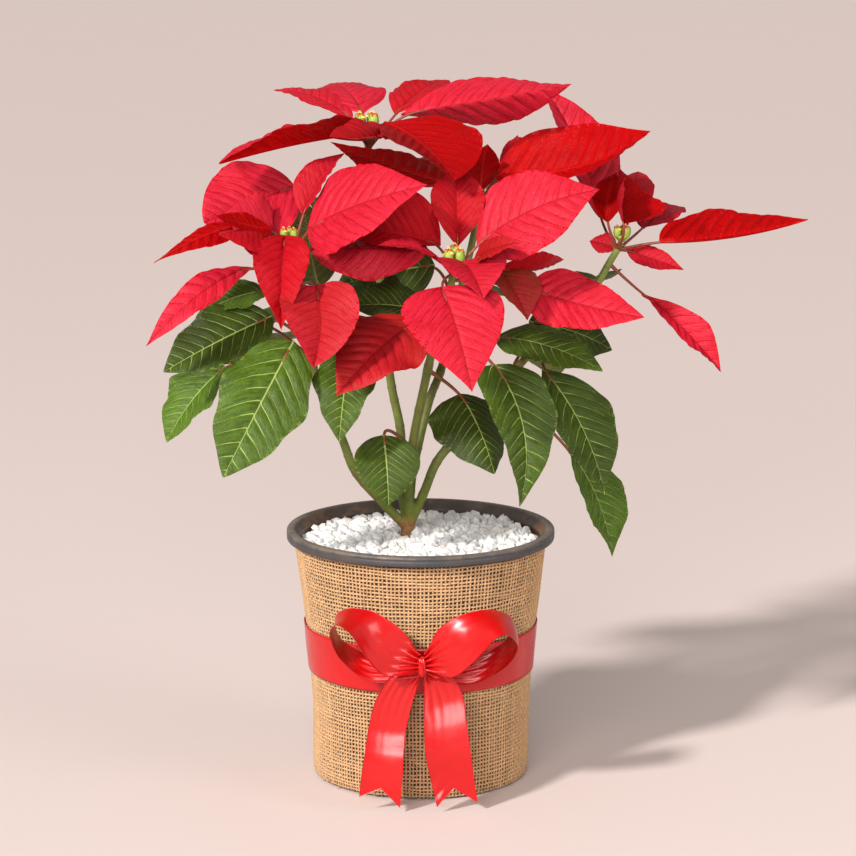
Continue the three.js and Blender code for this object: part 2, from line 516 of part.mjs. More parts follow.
const PLANT = {
  a: {
    stem: [FORK, [-11, 4, 165], [-11, 5, 192], [-16, 6, 218], [-20, 8, 249], [-23, 8, 288],
      [-27, 6, 327], [-29, 5, 359]],
    redFrom: 0.94,
    leaves: [
      leaf(0.66, [-30, 16, 262], [-60, 40, 250], 44, { roll: -20 }),
      leaf(0.84, [-32, 34, 316], [-54, 86, 300], 42, { rows: 4 }),
      leaf(0.6, [-22, 32, 247], [-30, 92, 228], 44, { rows: 4 }),
      leaf(0.52, [-44, 34, 240], [-90, 76, 226], 46, { rows: 4 }),
    ],
    bracts: [
      bract(0.96, [-31, -2, 360], [-107.5, -39, 347], 46,
        { roll: 11, fold: 33, arch: 0.02, sweep: -0.06, point: 0.85 }),
      smallBract(0.96, [-37, 12, 366], [-82, 48, 378], 20, { roll: -12, fold: 10 }),
      bract(0.96, [-31, 16, 368], [-50, 66, 380], 44,
        { roll: -5, fold: 4, cup: -0.08, wide: 0.5, rows: 4 }),
      bract(0.96, [-19, -2, 362], [-48, -49, 362.5], 30,
        { roll: -18, fold: 30, arch: -0.02, sweep: -0.12, wide: 0.45, point: 0.92 }),
      bract(0.96, [-20, -2.5, 365], [18.5, -49.5, 339.5], 67,
        { roll: 179, fold: -14, arch: -0.07, cup: -0.02, twist: -20, wide: 0.575, point: 0.85 }),
      bract(0.96, [-14, 13, 368], [16, 54, 383], 33, { roll: 4, fold: 8, wide: 0.46 }),
      bract(0.96, [-11, 10, 368], [82.5, 9, 385], 41,
        { roll: 82, fold: -50, arch: 0, cup: -0.1, twist: -36, wide: 0.49 }),
    ],
    cups: [[-4, -2.5, 3, 1.2], [3.6, -2.5, 3, 1.2], [-3.4, 2.8, 3.6, 0.8], [2, 3.2, 3.8, 1]],
  },
  b: {
    stem: [FORK, [-22, -6, 156], [-36, -12, 174], [-43, -16, 193], [-57, -24, 229], [-61, -30, 256],
      [-64, -35, 280], [-70, -40, 304]],
    redFrom: 0.84,
    leaves: [
      leaf(0.66, [-80, -34, 264], [-137, -60, 238], 40, { roll: -44, arch: 0.04 }),
      leaf(0.6, [-68, -50, 253], [-104, -90, 187], 48, { roll: -42, fold: 10, arch: 0.04 }),
      leaf(0.56, [-106, -18, 234], [-138, -32, 194], 38, { roll: -20, fold: 20 }),
      leaf(0.76, [-84, -22, 276], [-117, -34, 266], 26, { roll: -30, lobe: 0 }),
      leaf(0.7, [-56, -6, 276], [-64, 10, 321], 34, { roll: 170, lobe: 0 }),
      leaf(0.62, [-82, -6, 254], [-122, 40, 240], 44),
    ],
    bracts: [
      bract(0.95, [-68, -11, 332], [-116, -36, 315], 54,
        { roll: -46, fold: 16, arch: 0, cup: -0.09, wide: 0.46, point: 0.75 }),
      smallBract(0.96, [-79, -46, 312], [-107, -82, 325], 13, { roll: 120, fold: -8, arch: 0.02 }),
      smallBract(0.96, [-79, -40, 311], [-104, -50, 322], 38, { roll: -60, fold: 6, wide: 0.34 }),
      smallBract(0.96, [-79, -46, 308], [-105, -84, 315], 34, { roll: -20, fold: -24 }),
      bract(0.96, [-72, -48, 310], [-73, -80, 264], 40, { arch: 0.16, fold: 42 }),
      smallBract(0.95, [-63, -35, 319], [-41, -14, 350], 27, { roll: 10, fold: 42 }),
      bract(0.96, [-60, -46, 313], [4, -72, 340], 60, { roll: 44, fold: 10, wide: 0.36, sweep: 0.03 }),
      bract(0.9, [-89, -42, 292], [-144, -84, 256], 19, { roll: -40, fold: 16, arch: 0.17, wide: 0.5 }),
      bract(0.86, [-55, -66.5, 285.5], [-55.5, -106, 249], 49,
        { roll: -3, arch: -0.01, sweep: -0.06, fold: 32, twist: -32, wide: 0.34, point: 0.82 }),
      smallBract(0.93, [-89, -30, 314], [-141, -64, 297], 15, { roll: 140, arch: -0.1, point: 1.8 }),
    ],
    cups: [[-3, -2, 3, 0.8], [2.5, -2.5, 3, 0.8], [0, 3, 3.5, 0.7]],
  },
  c: {
    stem: [FORK, [-6, -4, 168], [-4, -8, 191], [4, -24, 233], [9, -36, 257], [15, -46, 277],
      [18, -53, 293]],
    redFrom: 0.78,
    leaves: [
      leaf(0.62, [-37, -40, 247], [-43, -70, 202], 35, { wide: 0.34 }),
      leaf(0.3, [-20, -40, 200], [-17, -58, 165], 38, { lobe: 0 }),
      leaf(0.5, [21.5, -22.5, 219.5], [40, -48.5, 180], 45,
        { roll: 7, fold: -13, cup: -0.13, twist: -8, wide: 0.31 }),
      leaf(0.7, [40, -35, 238], [53, -64, 165], 42,
        { roll: 3, fold: 25, arch: 0.07, sweep: -0.1, twist: -14, wide: 0.29, point: 1.08 }),
      leaf(0.66, [2, -20, 264], [-38, -26, 268], 40, { roll: -30 }),
    ],
    bracts: [
      bract(0.96, [11, -78, 287], [27, -112, 237], 57, { fold: 14, arch: 0.08, roll: 10, wide: 0.3 }),
      smallBract(0.96, [22, -62, 298], [33, -96, 283], 42, { fold: 26, wide: 0.36 }),
      smallBract(0.96, [12, -60, 297], [-22, -85, 310], 18, { roll: -20 }),
      bract(0.96, [4, -48, 303], [-60, -34, 301], 33,
        { roll: -40, fold: -20, arch: 0.13, sweep: -0.12, wide: 0.44, point: 0.85 }),
      bract(0.95, [20, -42, 303], [19, -20, 341], 36, { fold: 36, wide: 0.52, point: 0.9 }),
      bract(0.96, [30, -50, 305], [95, -52, 335], 53, { roll: 50, fold: 8, wide: 0.4, sweep: -0.03 }),
      smallBract(0.96, [28, -60, 298], [52, -84, 311], 16, { roll: 50 }),
      bract(0.95, [11, -38, 303], [-43, -42, 311], 44,
        { roll: -60, fold: 40, arch: 0.14, cup: 0.1, twist: -36, wide: 0.36 }),
      smallBract(0.96, [42, -48, 292], [78, -20, 293], 30, { roll: 150, fold: -10 }),
      smallBract(0.95, [41, -45, 291], [57, -60, 266], 38, { fold: 24 }),
      bract(0.93, [58, -42, 280], [119, -62, 268], 37,
        { roll: 46, fold: 10, arch: -0.04, wide: 0.3, point: 1 }),
      bract(0.82, [-2, -46, 263], [-44, -92, 231], 50, { roll: -24, fold: 14, wave: 3.2 }),
    ],
    cups: [[-3, -3.4, 2.6, 1.15], [3.2, -3, 2.8, 1.1], [0.4, 3, 3.6, 1.2], [-4, 1, 2.6, 0.8],
      [3.6, 1.4, 3, 0.8]],
  },
  d: {
    stem: [FORK, [2, -1, 160], [10, -3, 179], [27, 0, 198], [44, 6, 217], [57, 10, 232],
      [77, 14, 253], [95, 18, 270], [105, 20, 286], [111, 20, 296]],
    redFrom: 0.86,
    leaves: [
      leaf(0.62, [66.5, -8, 231], [100.5, -33, 165], 44,
        { roll: 18, fold: 20, arch: 0.06, sweep: -0.04, wide: 0.45, point: 1.25 }),
      leaf(0.45, [82, 12, 182], [106.5, -6, 124], 41,
        { roll: 4, fold: 23, arch: 0.09, wide: 0.49, point: 1.3 }),
      leaf(0.6, [41, -6, 248], [99, -30, 233], 36, { roll: 22, fold: 8 }),
      leaf(0.66, [60, 22, 252], [107, 26, 235], 40, { roll: 40, fold: 8 }),
      leaf(0.5, [56, 34, 232], [78, 88, 208], 44, { rows: 4 }),
      leaf(0.78, [100, 42, 272], [98, 96, 258], 30, { rows: 4 }),
    ],
    bracts: [
      bract(0.96, [131.5, 15, 298], [211, -9, 313.5], 42,
        { roll: -14, fold: 51, arch: -0.035, sweep: -0.04, wide: 0.35 }),
      smallBract(0.96, [109, 27, 292], [94, 36, 295], 14, { roll: -50 }),
      smallBract(0.96, [114, 22, 292], [145, 8, 283], 15, { roll: 46, arch: 0 }),
      bract(0.88, [121.5, 12, 270], [164.5, -12, 229.5], 22,
        { roll: 38, fold: 34, arch: 0.08, cup: 0.03, twist: -26, wide: 0.59 }),
      bract(0.95, [101, 47, 306], [69, 82, 377], 44, { roll: -8, fold: 34, rows: 4 }),
      bract(0.96, [103, 14, 308], [109, 34, 334], 21,
        { roll: 187, fold: -40, arch: -0.05, sweep: 0.06, wide: 0.33 }),
      bract(0.96, [111.5, 4, 309], [110, 25, 337], 48,
        { roll: 228, fold: -44, arch: 0.15, sweep: -0.05, twist: 28, wide: 0.3, point: 1.05 }),
      bract(0.95, [116, 31, 309], [123, 70, 330], 26, { rows: 4 }),
      bract(0.96, [123, 30, 303], [148, 66, 310], 30, { roll: 10, rows: 4 }),
    ],
    cups: [[-2.5, -2.5, 3, 0.9], [3, -2, 3, 0.9], [1, 3, 3.4, 0.8]],
  },
  e: {
    stem: [FORK, [-5, 9, 165], [-1, 13, 185], [5, 20, 208], [12, 26, 226], [21, 34, 262],
      [29, 38, 295], [34, 40, 323]],
    redFrom: 0.92,
    leaves: [
      leaf(0.55, [40, 60, 262], [80, 100, 236], 44, { rows: 4 }),
      leaf(0.66, [8, 47, 280], [-48, 54, 266], 42, { roll: -62, fold: 8 }),
    ],
    bracts: [
      bract(0.96, [24, 28, 327], [-48, -40, 359], 34, { roll: 24, fold: 10, arch: -0.02 }),
      bract(0.96, [42, 33, 332], [125, -5, 361], 48,
        { roll: 224, fold: -28, arch: 0.12, wide: 0.38, point: 1.1 }),
      bract(0.94, [46, 52, 328], [104, 92, 336], 50, { roll: 20, rows: 4 }),
      bract(0.95, [24, 52, 328], [-8, 104, 330], 46, { roll: -8, rows: 4 }),
      bract(0.94, [38, 62, 322], [46, 128, 318], 48, { rows: 4 }),
      smallBract(0.95, [33, 29, 324], [37, 20, 351], 26, { fold: 20 }),
      smallBract(0.95, [48, 49, 329], [55, 75, 350], 12),
    ],
    cups: [[-2.6, -2.6, 3, 0.8], [2.6, -2.6, 3, 0.8], [0, 3, 3.4, 0.8]],
  },
};

function makePlant() {
  const stubs = [];
  for (const [key, { stem, redFrom, leaves, bracts, cups }] of Object.entries(PLANT)) {
    const curve = course(stem);
    const slack = STEM_GAP / curve.getLength();
    stubs.push(stemBar(curve, 0, STUB_END, 3));
    const green = [stemBar(curve, STUB_END + slack, redFrom - slack, 8), ...spray(curve, leaves)];
    place(`leafy_stem_${key}`, toGeometry(joined(green)), GREEN());
    const red = [stemBar(curve, redFrom, 1, 2), ...spray(curve, bracts)];
    place(`bracts_${key}`, toGeometry(joined(red)), RED());
    const crown = curve.getPoint(1);
    const tilt = Math.acos(curve.getTangent(1).z);
    crown.z += STEM_TOP_RADIUS * Math.sin(tilt) + GAP;
    place(`flowers_${key}`, toGeometry(flowerCluster(crown.toArray(), cups)), FLOWER());
  }
  const neck = upright(TRUNK_RADIUS, ROOT_BOTTOM, FORK[2], TRUNK_X, TRUNK_Y, 10);
  place("woody_base", toGeometry(joined([neck, ...stubs])), BARK());
}

makePot();
makeSoil();
makeGravel();
makeWrap();
makeBand();
makeBow();
makePlant();

export default group;
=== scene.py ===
# Potted poinsettia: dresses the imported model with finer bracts, leaves, flowers, pot, gravel,
# burlap and ribbon. Tables are in millimetres, meshes in metres, +Z is up and the bow faces -Y.

import functools
import math

import bpy
import numpy as np
from bpy.props import FloatProperty, FloatVectorProperty, IntProperty, PointerProperty
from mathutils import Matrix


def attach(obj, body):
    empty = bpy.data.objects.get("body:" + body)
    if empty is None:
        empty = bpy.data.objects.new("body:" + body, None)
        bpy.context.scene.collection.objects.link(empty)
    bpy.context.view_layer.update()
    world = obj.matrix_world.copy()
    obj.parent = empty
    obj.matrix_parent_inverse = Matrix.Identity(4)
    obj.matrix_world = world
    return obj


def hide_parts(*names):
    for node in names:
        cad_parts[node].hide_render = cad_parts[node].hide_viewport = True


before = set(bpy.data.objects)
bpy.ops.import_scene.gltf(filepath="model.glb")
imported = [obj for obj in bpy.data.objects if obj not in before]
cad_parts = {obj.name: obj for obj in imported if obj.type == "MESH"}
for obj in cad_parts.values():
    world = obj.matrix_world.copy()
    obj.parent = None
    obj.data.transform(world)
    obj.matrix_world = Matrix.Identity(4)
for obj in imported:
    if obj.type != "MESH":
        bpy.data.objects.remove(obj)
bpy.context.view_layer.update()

bl_info = {
    "name": "Potted poinsettia",
    "version": (1, 0, 0),
    "blender": (4, 5, 0),
    "location": "3D View > Sidebar > Poinsettia",
    "description": "Builds a poinsettia in a burlap-wrapped pot with a ribbon bow",
    "category": "Object",
}

MM = 0.001
UP = np.array((0.0, 0.0, 1.0))
TURN = 2 * math.pi
NOISE_CELLS = 64
TUBE_CROWN = 0.3

# ---- Sizes shared with the solids, in millimetres ---------------------------------------------

POT_HEIGHT = 140
POT_BASE_RADIUS = 52.4
POT_FLARE = 0.12
POT_WALL = 1.5
RIM_LOW = 134.2
RIM_RADIUS = 74.5
RIM_INNER_RADIUS = 69.6
DRAIN_HOLES = 6
DRAIN_RADIUS = 4.5
DRAIN_CIRCLE = 40
BAND_LOW = 61
BAND_HIGH = 87
BAND_RADII = (62.2, 64.4)
BAND_GAP = 0.3
# The burlap's outside, as (radius, height) from the hem up.
WRAP_PROFILE = ((58.6, 0.5), (60.3, 3), (60.9, 41), (BAND_RADII[0], BAND_LOW),
                (BAND_RADII[1], BAND_HIGH), (70.2, 133.9))
WRAP_THICKNESS = 1.2
SOIL_TOP = 123.5
GRAVEL_EDGE = 133
GRAVEL_MOUND = 1.6
TRUNK = (-7, 4)
TRUNK_RADIUS = 4.8
ROOT_BOTTOM = 92
STEM_RADIUS = 2.7
STEM_TOP_RADIUS = 1.9
# The share of each stem's course that belongs to the woody foot.
STUB_END = 0.16
FORK = (*TRUNK, 138)
KNOT = (1, -76, 80)

# ---- Sizes of the finer pieces, in millimetres ------------------------------------------------

# The rim's outline: (inwards from its radius, up from RIM_LOW) outside, and (outwards from its
# inner radius, down from the top) inside.
RIM_OUTSIDE = ((0.9, 0), (0.35, 0.15), (0.12, 0.6), (0, 2.6), (0.25, 3.2), (0.3, 3.6), (0.02, 4.0),
               (0.15, 4.9), (0.7, 5.55), (1.5, 5.8))
RIM_INSIDE = ((1.2, 0), (0.45, 0.2), (0, 0.9), (-0.15, 2.2))
# Layers of chips, as (spacing, depth below the gravel's height), and the least and largest chip.
CHIP_LAYERS = ((4.8, 3.2), (5.1, 1.2), (6.3, 0.0))
CHIP_SIZES = (2.3, 4.2)
# Where the weave begins and ends, the radii that its yarns are counted and measured at, how far
# a yarn stands out, and the loose fibres of the fringe.
HEM = 0.9
WRAP_TOP = 133.4
WARP_RADIUS = 62.5
YARN_HEIGHT = 0.42
FIBRES = 90
# Pleats across the bow's ribbon, and how far from the knot they and the crumples fade.
PLEATS = 4.6
PLEATS_FADE = 9.0
CRUMPLES_FADE = 24.0
# Waves along a blade's margin, and the depth of its sunk midrib.
RIPPLES = 2.3
SINK_OF_RIB = 0.45
# Teeth of a flower's lip, and stamens in its cup.
LIP_TEETH = 5
STAMENS = 7

# ---- Leaves, bracts and stems -----------------------------------------------------------------
# A blade is (share of the stem's course where its stalk leaves, base of the midrib, tip, width).
# roll turns its upper face to the right, in degrees, and twist turns the tip against the base.
# arch bows the midrib out of the upper face and sweep to the right, as shares of its length. fold
# is how many degrees each half rises, cup curls the edges and wave ripples them, wide is where
# the blade is widest, point draws out the tip, lobe scallops the outline, and stalk is the
# stalk's radius. tone darkens the colour towards a shade colour: where it is given it is painted
# light and shade, set for each blade to the light and shade it sits in, and it is random where
# it isn't given. turned browns it.
# Each stem is a course from the fork up, where red_from is the share at which its red head
# begins. A cup is (x, y, z) from the stem's crown and its size.

BLADE = {
    "roll": 0, "arch": 0.08, "sweep": 0, "fold": 18, "cup": -0.06, "twist": 0, "wave": 1.2,
    "wide": 0.4, "point": 1.2, "lobe": 0, "stalk": 1.0, "turned": 0,
}


def bract(at, base, tip, width, **changes):
    """A red blade: BLADE's values, but for what is given."""
    return {**BLADE, **changes, "at": at, "base": base, "tip": tip, "width": width}


def small_bract(*place, **changes):
    """A young red blade with a calmer edge."""
    return bract(*place, **{"wave": 0.6, **changes})


def leaf(*place, **changes):
    """A green blade: blunter, with shallow lobes and a thicker stalk."""
    shape = {"wide": 0.42, "point": 0.95, "lobe": 0.06, "stalk": 1.2}
    return bract(*place, **{**shape, **changes})


STEM_A = {
    "stem": [FORK, (-11, 4, 165), (-11, 5, 192), (-16, 6, 218), (-20, 8, 249), (-23, 8, 288),
        (-27, 6, 327), (-29, 5, 359)],
    "red_from": 0.94,
    "leaves": [
        leaf(0.66, (-30, 16, 262), (-60, 40, 250), 44, roll=-20),
        leaf(0.84, (-32, 34, 316), (-54, 86, 300), 42),
        leaf(0.6, (-22, 32, 247), (-30, 92, 228), 44),
        leaf(0.52, (-44, 34, 240), (-90, 76, 226), 46),
    ],
    "bracts": [
        bract(0.96, (-31, -2, 360), (-107.5, -39, 347), 46, roll=11, fold=33, arch=0.02,
            sweep=-0.06, point=0.85, tone=0.3),
        small_bract(0.96, (-37, 12, 366), (-82, 48, 378), 20, roll=-12, fold=10, tone=0.4),
        bract(0.96, (-31, 16, 368), (-50, 66, 380), 44, roll=-5, fold=4, cup=-0.08, wide=0.5,
            tone=0),
        bract(0.96, (-19, -2, 362), (-48, -49, 362.5), 30, roll=-18, fold=30, arch=-0.02,
            sweep=-0.12, wide=0.45, point=0.92, tone=1),
        bract(0.96, (-20, -2.5, 365), (18.5, -49.5, 339.5), 67, roll=179, fold=-14, arch=-0.07,
            cup=-0.02, twist=-20, wide=0.575, point=0.85, tone=1),
        bract(0.96, (-14, 13, 368), (16, 54, 383), 33, roll=4, fold=8, wide=0.46, tone=1),
        bract(0.96, (-11, 10, 368), (82.5, 9, 385), 41, roll=82, fold=-50, arch=0, cup=-0.1,
            twist=-36, wide=0.49, tone=0),
    ],
    "cups": [(-4, -2.5, 3, 1.2), (3.6, -2.5, 3, 1.2), (-3.4, 2.8, 3.6, 0.8), (2, 3.2, 3.8, 1)],
}
STEM_B = {
    "stem": [FORK, (-22, -6, 156), (-36, -12, 174), (-43, -16, 193), (-57, -24, 229),
        (-61, -30, 256), (-64, -35, 280), (-70, -40, 304)],
    "red_from": 0.84,
    "leaves": [
        leaf(0.66, (-80, -34, 264), (-137, -60, 238), 40, roll=-44, arch=0.04, tone=1),
        leaf(0.6, (-68, -50, 253), (-104, -90, 187), 48, roll=-42, fold=10, arch=0.04, tone=0.3),
        leaf(0.56, (-106, -18, 234), (-138, -32, 194), 38, roll=-20, fold=20, tone=0),
        leaf(0.76, (-84, -22, 276), (-117, -34, 266), 26, roll=-30, lobe=0),
        leaf(0.7, (-56, -6, 276), (-64, 10, 321), 34, roll=170, lobe=0),
        leaf(0.62, (-82, -6, 254), (-122, 40, 240), 44),
    ],
    "bracts": [
        bract(0.95, (-68, -11, 332), (-116, -36, 315), 54, roll=-46, fold=16, arch=0, cup=-0.09,
            wide=0.46, point=0.75, tone=0),
        small_bract(0.96, (-79, -46, 312), (-107, -82, 325), 13, roll=120, fold=-8, arch=0.02),
        small_bract(0.96, (-79, -40, 311), (-104, -50, 322), 38, roll=-60, fold=6, wide=0.34),
        small_bract(0.96, (-79, -46, 308), (-105, -84, 315), 34, roll=-20, fold=-24, tone=1),
        bract(0.96, (-72, -48, 310), (-73, -80, 264), 40, arch=0.16, fold=42, tone=1),
        small_bract(0.95, (-63, -35, 319), (-41, -14, 350), 27, roll=10, fold=42, tone=0.6),
        bract(0.96, (-60, -46, 313), (4, -72, 340), 60, roll=44, fold=10, wide=0.36, sweep=0.03,
            tone=0),
        bract(0.9, (-89, -42, 292), (-144, -84, 256), 19, roll=-40, fold=16, arch=0.17, wide=0.5,
            tone=0),
        bract(0.86, (-55, -66.5, 285.5), (-55.5, -106, 249), 49, roll=-3, arch=-0.01, sweep=-0.06,
            fold=32, twist=-32, wide=0.34, point=0.82, tone=0.2, turned=0.25),
        small_bract(0.93, (-89, -30, 314), (-141, -64, 297), 15, roll=140, arch=-0.1, point=1.8),
    ],
    "cups": [(-3, -2, 3, 0.8), (2.5, -2.5, 3, 0.8), (0, 3, 3.5, 0.7)],
}
STEM_C = {
    "stem": [FORK, (-6, -4, 168), (-4, -8, 191), (4, -24, 233), (9, -36, 257), (15, -46, 277),
        (18, -53, 293)],
    "red_from": 0.78,
    "leaves": [
        leaf(0.62, (-37, -40, 247), (-43, -70, 202), 35, wide=0.34, tone=0.5),
        leaf(0.3, (-20, -40, 200), (-17, -58, 165), 38, lobe=0, tone=0.9),
        leaf(0.5, (21.5, -22.5, 219.5), (40, -48.5, 180), 45, roll=7, fold=-13, cup=-0.13,
            twist=-8, wide=0.31, tone=1),
        leaf(0.7, (40, -35, 238), (53, -64, 165), 42, roll=3, fold=25, arch=0.07, sweep=-0.1,
            twist=-14, wide=0.29, point=1.08, tone=0.6),
        leaf(0.66, (2, -20, 264), (-38, -26, 268), 40, roll=-30, tone=1),
    ],
    "bracts": [
        bract(0.96, (11, -78, 287), (27, -112, 237), 57, fold=14, roll=10, wide=0.3,
            tone=0),
        small_bract(0.96, (22, -62, 298), (33, -96, 283), 42, fold=26, wide=0.36, tone=0.2),
        small_bract(0.96, (12, -60, 297), (-22, -85, 310), 18, roll=-20),
        bract(0.96, (4, -48, 303), (-60, -34, 301), 33, roll=-40, fold=-20, arch=0.13,
            sweep=-0.12, wide=0.44, point=0.85, tone=0),
        bract(0.95, (20, -42, 303), (19, -20, 341), 36, fold=36, wide=0.52, point=0.9, tone=1),
        bract(0.96, (30, -50, 305), (95, -52, 335), 53, roll=50, fold=8, sweep=-0.03,
            tone=0),
        small_bract(0.96, (28, -60, 298), (52, -84, 311), 16, roll=50, turned=0.2, tone=1),
        bract(0.95, (11, -38, 303), (-43, -42, 311), 44, roll=-60, fold=40, arch=0.14, cup=0.1,
            twist=-36, wide=0.36, tone=1),
        small_bract(0.96, (42, -48, 292), (78, -20, 293), 30, roll=150, fold=-10, tone=1),
        small_bract(0.95, (41, -45, 291), (57, -60, 266), 38, fold=24, turned=0.9),
        bract(0.93, (58, -42, 280), (119, -62, 268), 37, roll=46, fold=10, arch=-0.04, wide=0.3,
            point=1, tone=0.2),
        bract(0.82, (-2, -46, 263), (-44, -92, 231), 50, roll=-24, fold=14, wave=3.2, turned=0.3,
            tone=0.8),
    ],
    "cups": [(-3, -3.4, 2.6, 1.15), (3.2, -3, 2.8, 1.1), (0.4, 3, 3.6, 1.2), (-4, 1, 2.6, 0.8),
        (3.6, 1.4, 3, 0.8)],
}
STEM_D = {
    "stem": [FORK, (2, -1, 160), (10, -3, 179), (27, 0, 198), (44, 6, 217), (57, 10, 232),
        (77, 14, 253), (95, 18, 270), (105, 20, 286), (111, 20, 296)],
    "red_from": 0.86,
    "leaves": [
        leaf(0.62, (66.5, -8, 231), (100.5, -33, 165), 44, roll=18, fold=20, arch=0.06,
            sweep=-0.04, wide=0.45, point=1.25, tone=0.8),
        leaf(0.45, (82, 12, 182), (106.5, -6, 124), 41, roll=4, fold=23, arch=0.09, wide=0.49,
            point=1.3, tone=0),
        leaf(0.6, (41, -6, 248), (99, -30, 233), 36, roll=22, fold=8, tone=0.5),
        leaf(0.66, (60, 22, 252), (107, 26, 235), 40, roll=40, fold=8, tone=1),
        leaf(0.5, (56, 34, 232), (78, 88, 208), 44),
        leaf(0.78, (100, 42, 272), (98, 96, 258), 30),
    ],
    "bracts": [
        bract(0.96, (131.5, 15, 298), (211, -9, 313.5), 42, roll=-14, fold=51, arch=-0.035,
            sweep=-0.04, wide=0.35, tone=0.5),
        small_bract(0.96, (109, 27, 292), (94, 36, 295), 14, roll=-50, tone=0.6),
        small_bract(0.96, (114, 22, 292), (145, 8, 283), 15, roll=46, arch=0, tone=0.6),
        bract(0.88, (121.5, 12, 270), (164.5, -12, 229.5), 22, roll=38, fold=34,
            cup=0.03, twist=-26, wide=0.59, tone=0.1),
        bract(0.95, (101, 47, 306), (69, 82, 377), 44, roll=-8, fold=34, tone=0),
        bract(0.96, (103, 14, 308), (109, 34, 334), 21, roll=187, fold=-40, arch=-0.05,
            sweep=0.06, wide=0.33, tone=1),
        bract(0.96, (111.5, 4, 309), (110, 25, 337), 48, roll=228, fold=-44, arch=0.15,
            sweep=-0.05, twist=28, wide=0.3, point=1.05, tone=0.8),
        bract(0.95, (116, 31, 309), (123, 70, 330), 26),
        bract(0.96, (123, 30, 303), (148, 66, 310), 30, roll=10),
    ],
    "cups": [(-2.5, -2.5, 3, 0.9), (3, -2, 3, 0.9), (1, 3, 3.4, 0.8)],
}
STEM_E = {
    "stem": [FORK, (-5, 9, 165), (-1, 13, 185), (5, 20, 208), (12, 26, 226), (21, 34, 262),
        (29, 38, 295), (34, 40, 323)],
    "red_from": 0.92,
    "leaves": [
        leaf(0.55, (40, 60, 262), (80, 100, 236), 44),
        leaf(0.66, (8, 47, 280), (-48, 54, 266), 42, roll=-62, fold=8, tone=1),
    ],
    "bracts": [
        bract(0.96, (24, 28, 327), (-48, -40, 359), 34, roll=24, fold=10, arch=-0.02, tone=1),
        bract(0.96, (42, 33, 332), (125, -5, 361), 48, roll=224, fold=-28, arch=0.12, wide=0.38,
            point=1.1),
        bract(0.94, (46, 52, 328), (104, 92, 336), 50, roll=20),
        bract(0.95, (24, 52, 328), (-8, 104, 330), 46, roll=-8),
        bract(0.94, (38, 62, 322), (46, 128, 318), 48),
        small_bract(0.95, (33, 29, 324), (37, 20, 351), 26, fold=20, tone=1),
        small_bract(0.95, (48, 49, 329), (55, 75, 350), 12, tone=1),
    ],
    "cups": [(-2.6, -2.6, 3, 0.8), (2.6, -2.6, 3, 0.8), (0, 3, 3.4, 0.8)],
}
PLANT = {"a": STEM_A, "b": STEM_B, "c": STEM_C, "d": STEM_D, "e": STEM_E}

# The bow's strips of ribbon: the far edge and the near edge of each, from the knot outwards.
LEFT_LOOP = (
    ((-1, -75, 88), (-7, -79, 98), (-15, -81, 106), (-26, -79, 112), (-38, -75, 112),
     (-46, -69, 105), (-42, -66, 92), (-24, -69, 84), (-1, -73, 82)),
    ((-1, -77, 78), (-18, -83, 77), (-28, -90, 88), (-37, -97, 104), (-45, -95, 108),
     (-48, -88, 100), (-42, -79, 84), (-26, -73, 71), (-1, -75, 74)),
)
RIGHT_LOOP = (
    ((3, -75, 88), (9, -80, 101), (19, -81, 109), (32, -78, 112), (43, -73, 110),
     (50, -67, 103), (45, -65, 91), (26, -69, 84), (3, -73, 82)),
    ((3, -77, 78), (17, -85, 77), (28, -93, 87), (39, -99, 101), (46, -97, 103),
     (52, -90, 94), (45, -78, 80), (26, -72, 69), (3, -75, 74)),
)
LEFT_TAIL = (
    ((0, -75, 80), (-15, -74, 75), (-24, -74, 61), (-28, -75.5, 46), (-30, -80.5, 33),
     (-32, -82, 20), (-33, -81.5, 9)),
    ((0, -76, 74), (-2, -74, 67), (-5, -74.5, 57), (-8, -76, 43), (-9, -81, 30),
     (-10, -82.5, 15), (-11, -82, 3)),
)
RIGHT_TAIL = (
    ((2, -76, 74), (2, -74, 67), (2, -76, 56), (2, -80, 44), (3, -82, 31), (6, -80.5, 16),
     (9, -80, 2)),
    ((2, -75, 80), (16, -74, 75), (23, -74.5, 63), (25, -79, 49), (27, -81, 35), (29, -80, 19),
     (31, -79, 5)),
)

# Each strip's piece, edges, rows of points, depth of its swallow-tail notch, gathered ends beside
# the first (1 or 0) and seed.
STRIPS = (
    ("bow_left_loop", LEFT_LOOP, 150, 0, 1, 101),
    ("bow_right_loop", RIGHT_LOOP, 150, 0, 1, 111),
    ("bow_left_tail", LEFT_TAIL, 90, 9, 0, 121),
    ("bow_right_tail", RIGHT_TAIL, 90, 9, 0, 131),
)


# ---- Helpers: numbers --------------------------------------------------------------------------


def unit(v):
    """Vectors brought to length 1 along the last axis."""
    return v / np.maximum(np.linalg.norm(v, axis=-1, keepdims=True), 1e-12)


def lerp(a, b, share):
    """The point a share of the way from a to b."""
    return a + (b - a) * share


def bell(x, width):
    """A bump of height 1 at 0: e to the power -(x / width) squared."""
    return np.exp(-((x / width) ** 2))


def smooth_noise(u, v, seed):
    """Random values from -1 to 1 at whole-number corners, which repeat after NOISE_CELLS, blended
    inside each cell by 3f^2 - 2f^3 of the distances f to its corners."""
    table = np.random.default_rng(seed).uniform(-1, 1, (NOISE_CELLS, NOISE_CELLS))
    u, v = np.broadcast_arrays(np.asarray(u, float), np.asarray(v, float))
    iu, iv = np.floor(u).astype(int), np.floor(v).astype(int)
    fu, fv = u - iu, v - iv
    fu, fv = fu * fu * (3 - 2 * fu), fv * fv * (3 - 2 * fv)
    iu, iv, ju, jv = (index % NOISE_CELLS for index in (iu, iv, iu + 1, iv + 1))
    low = lerp(table[iu, iv], table[ju, iv], fu)
    high = lerp(table[iu, jv], table[ju, jv], fu)
    return lerp(low, high, fv)


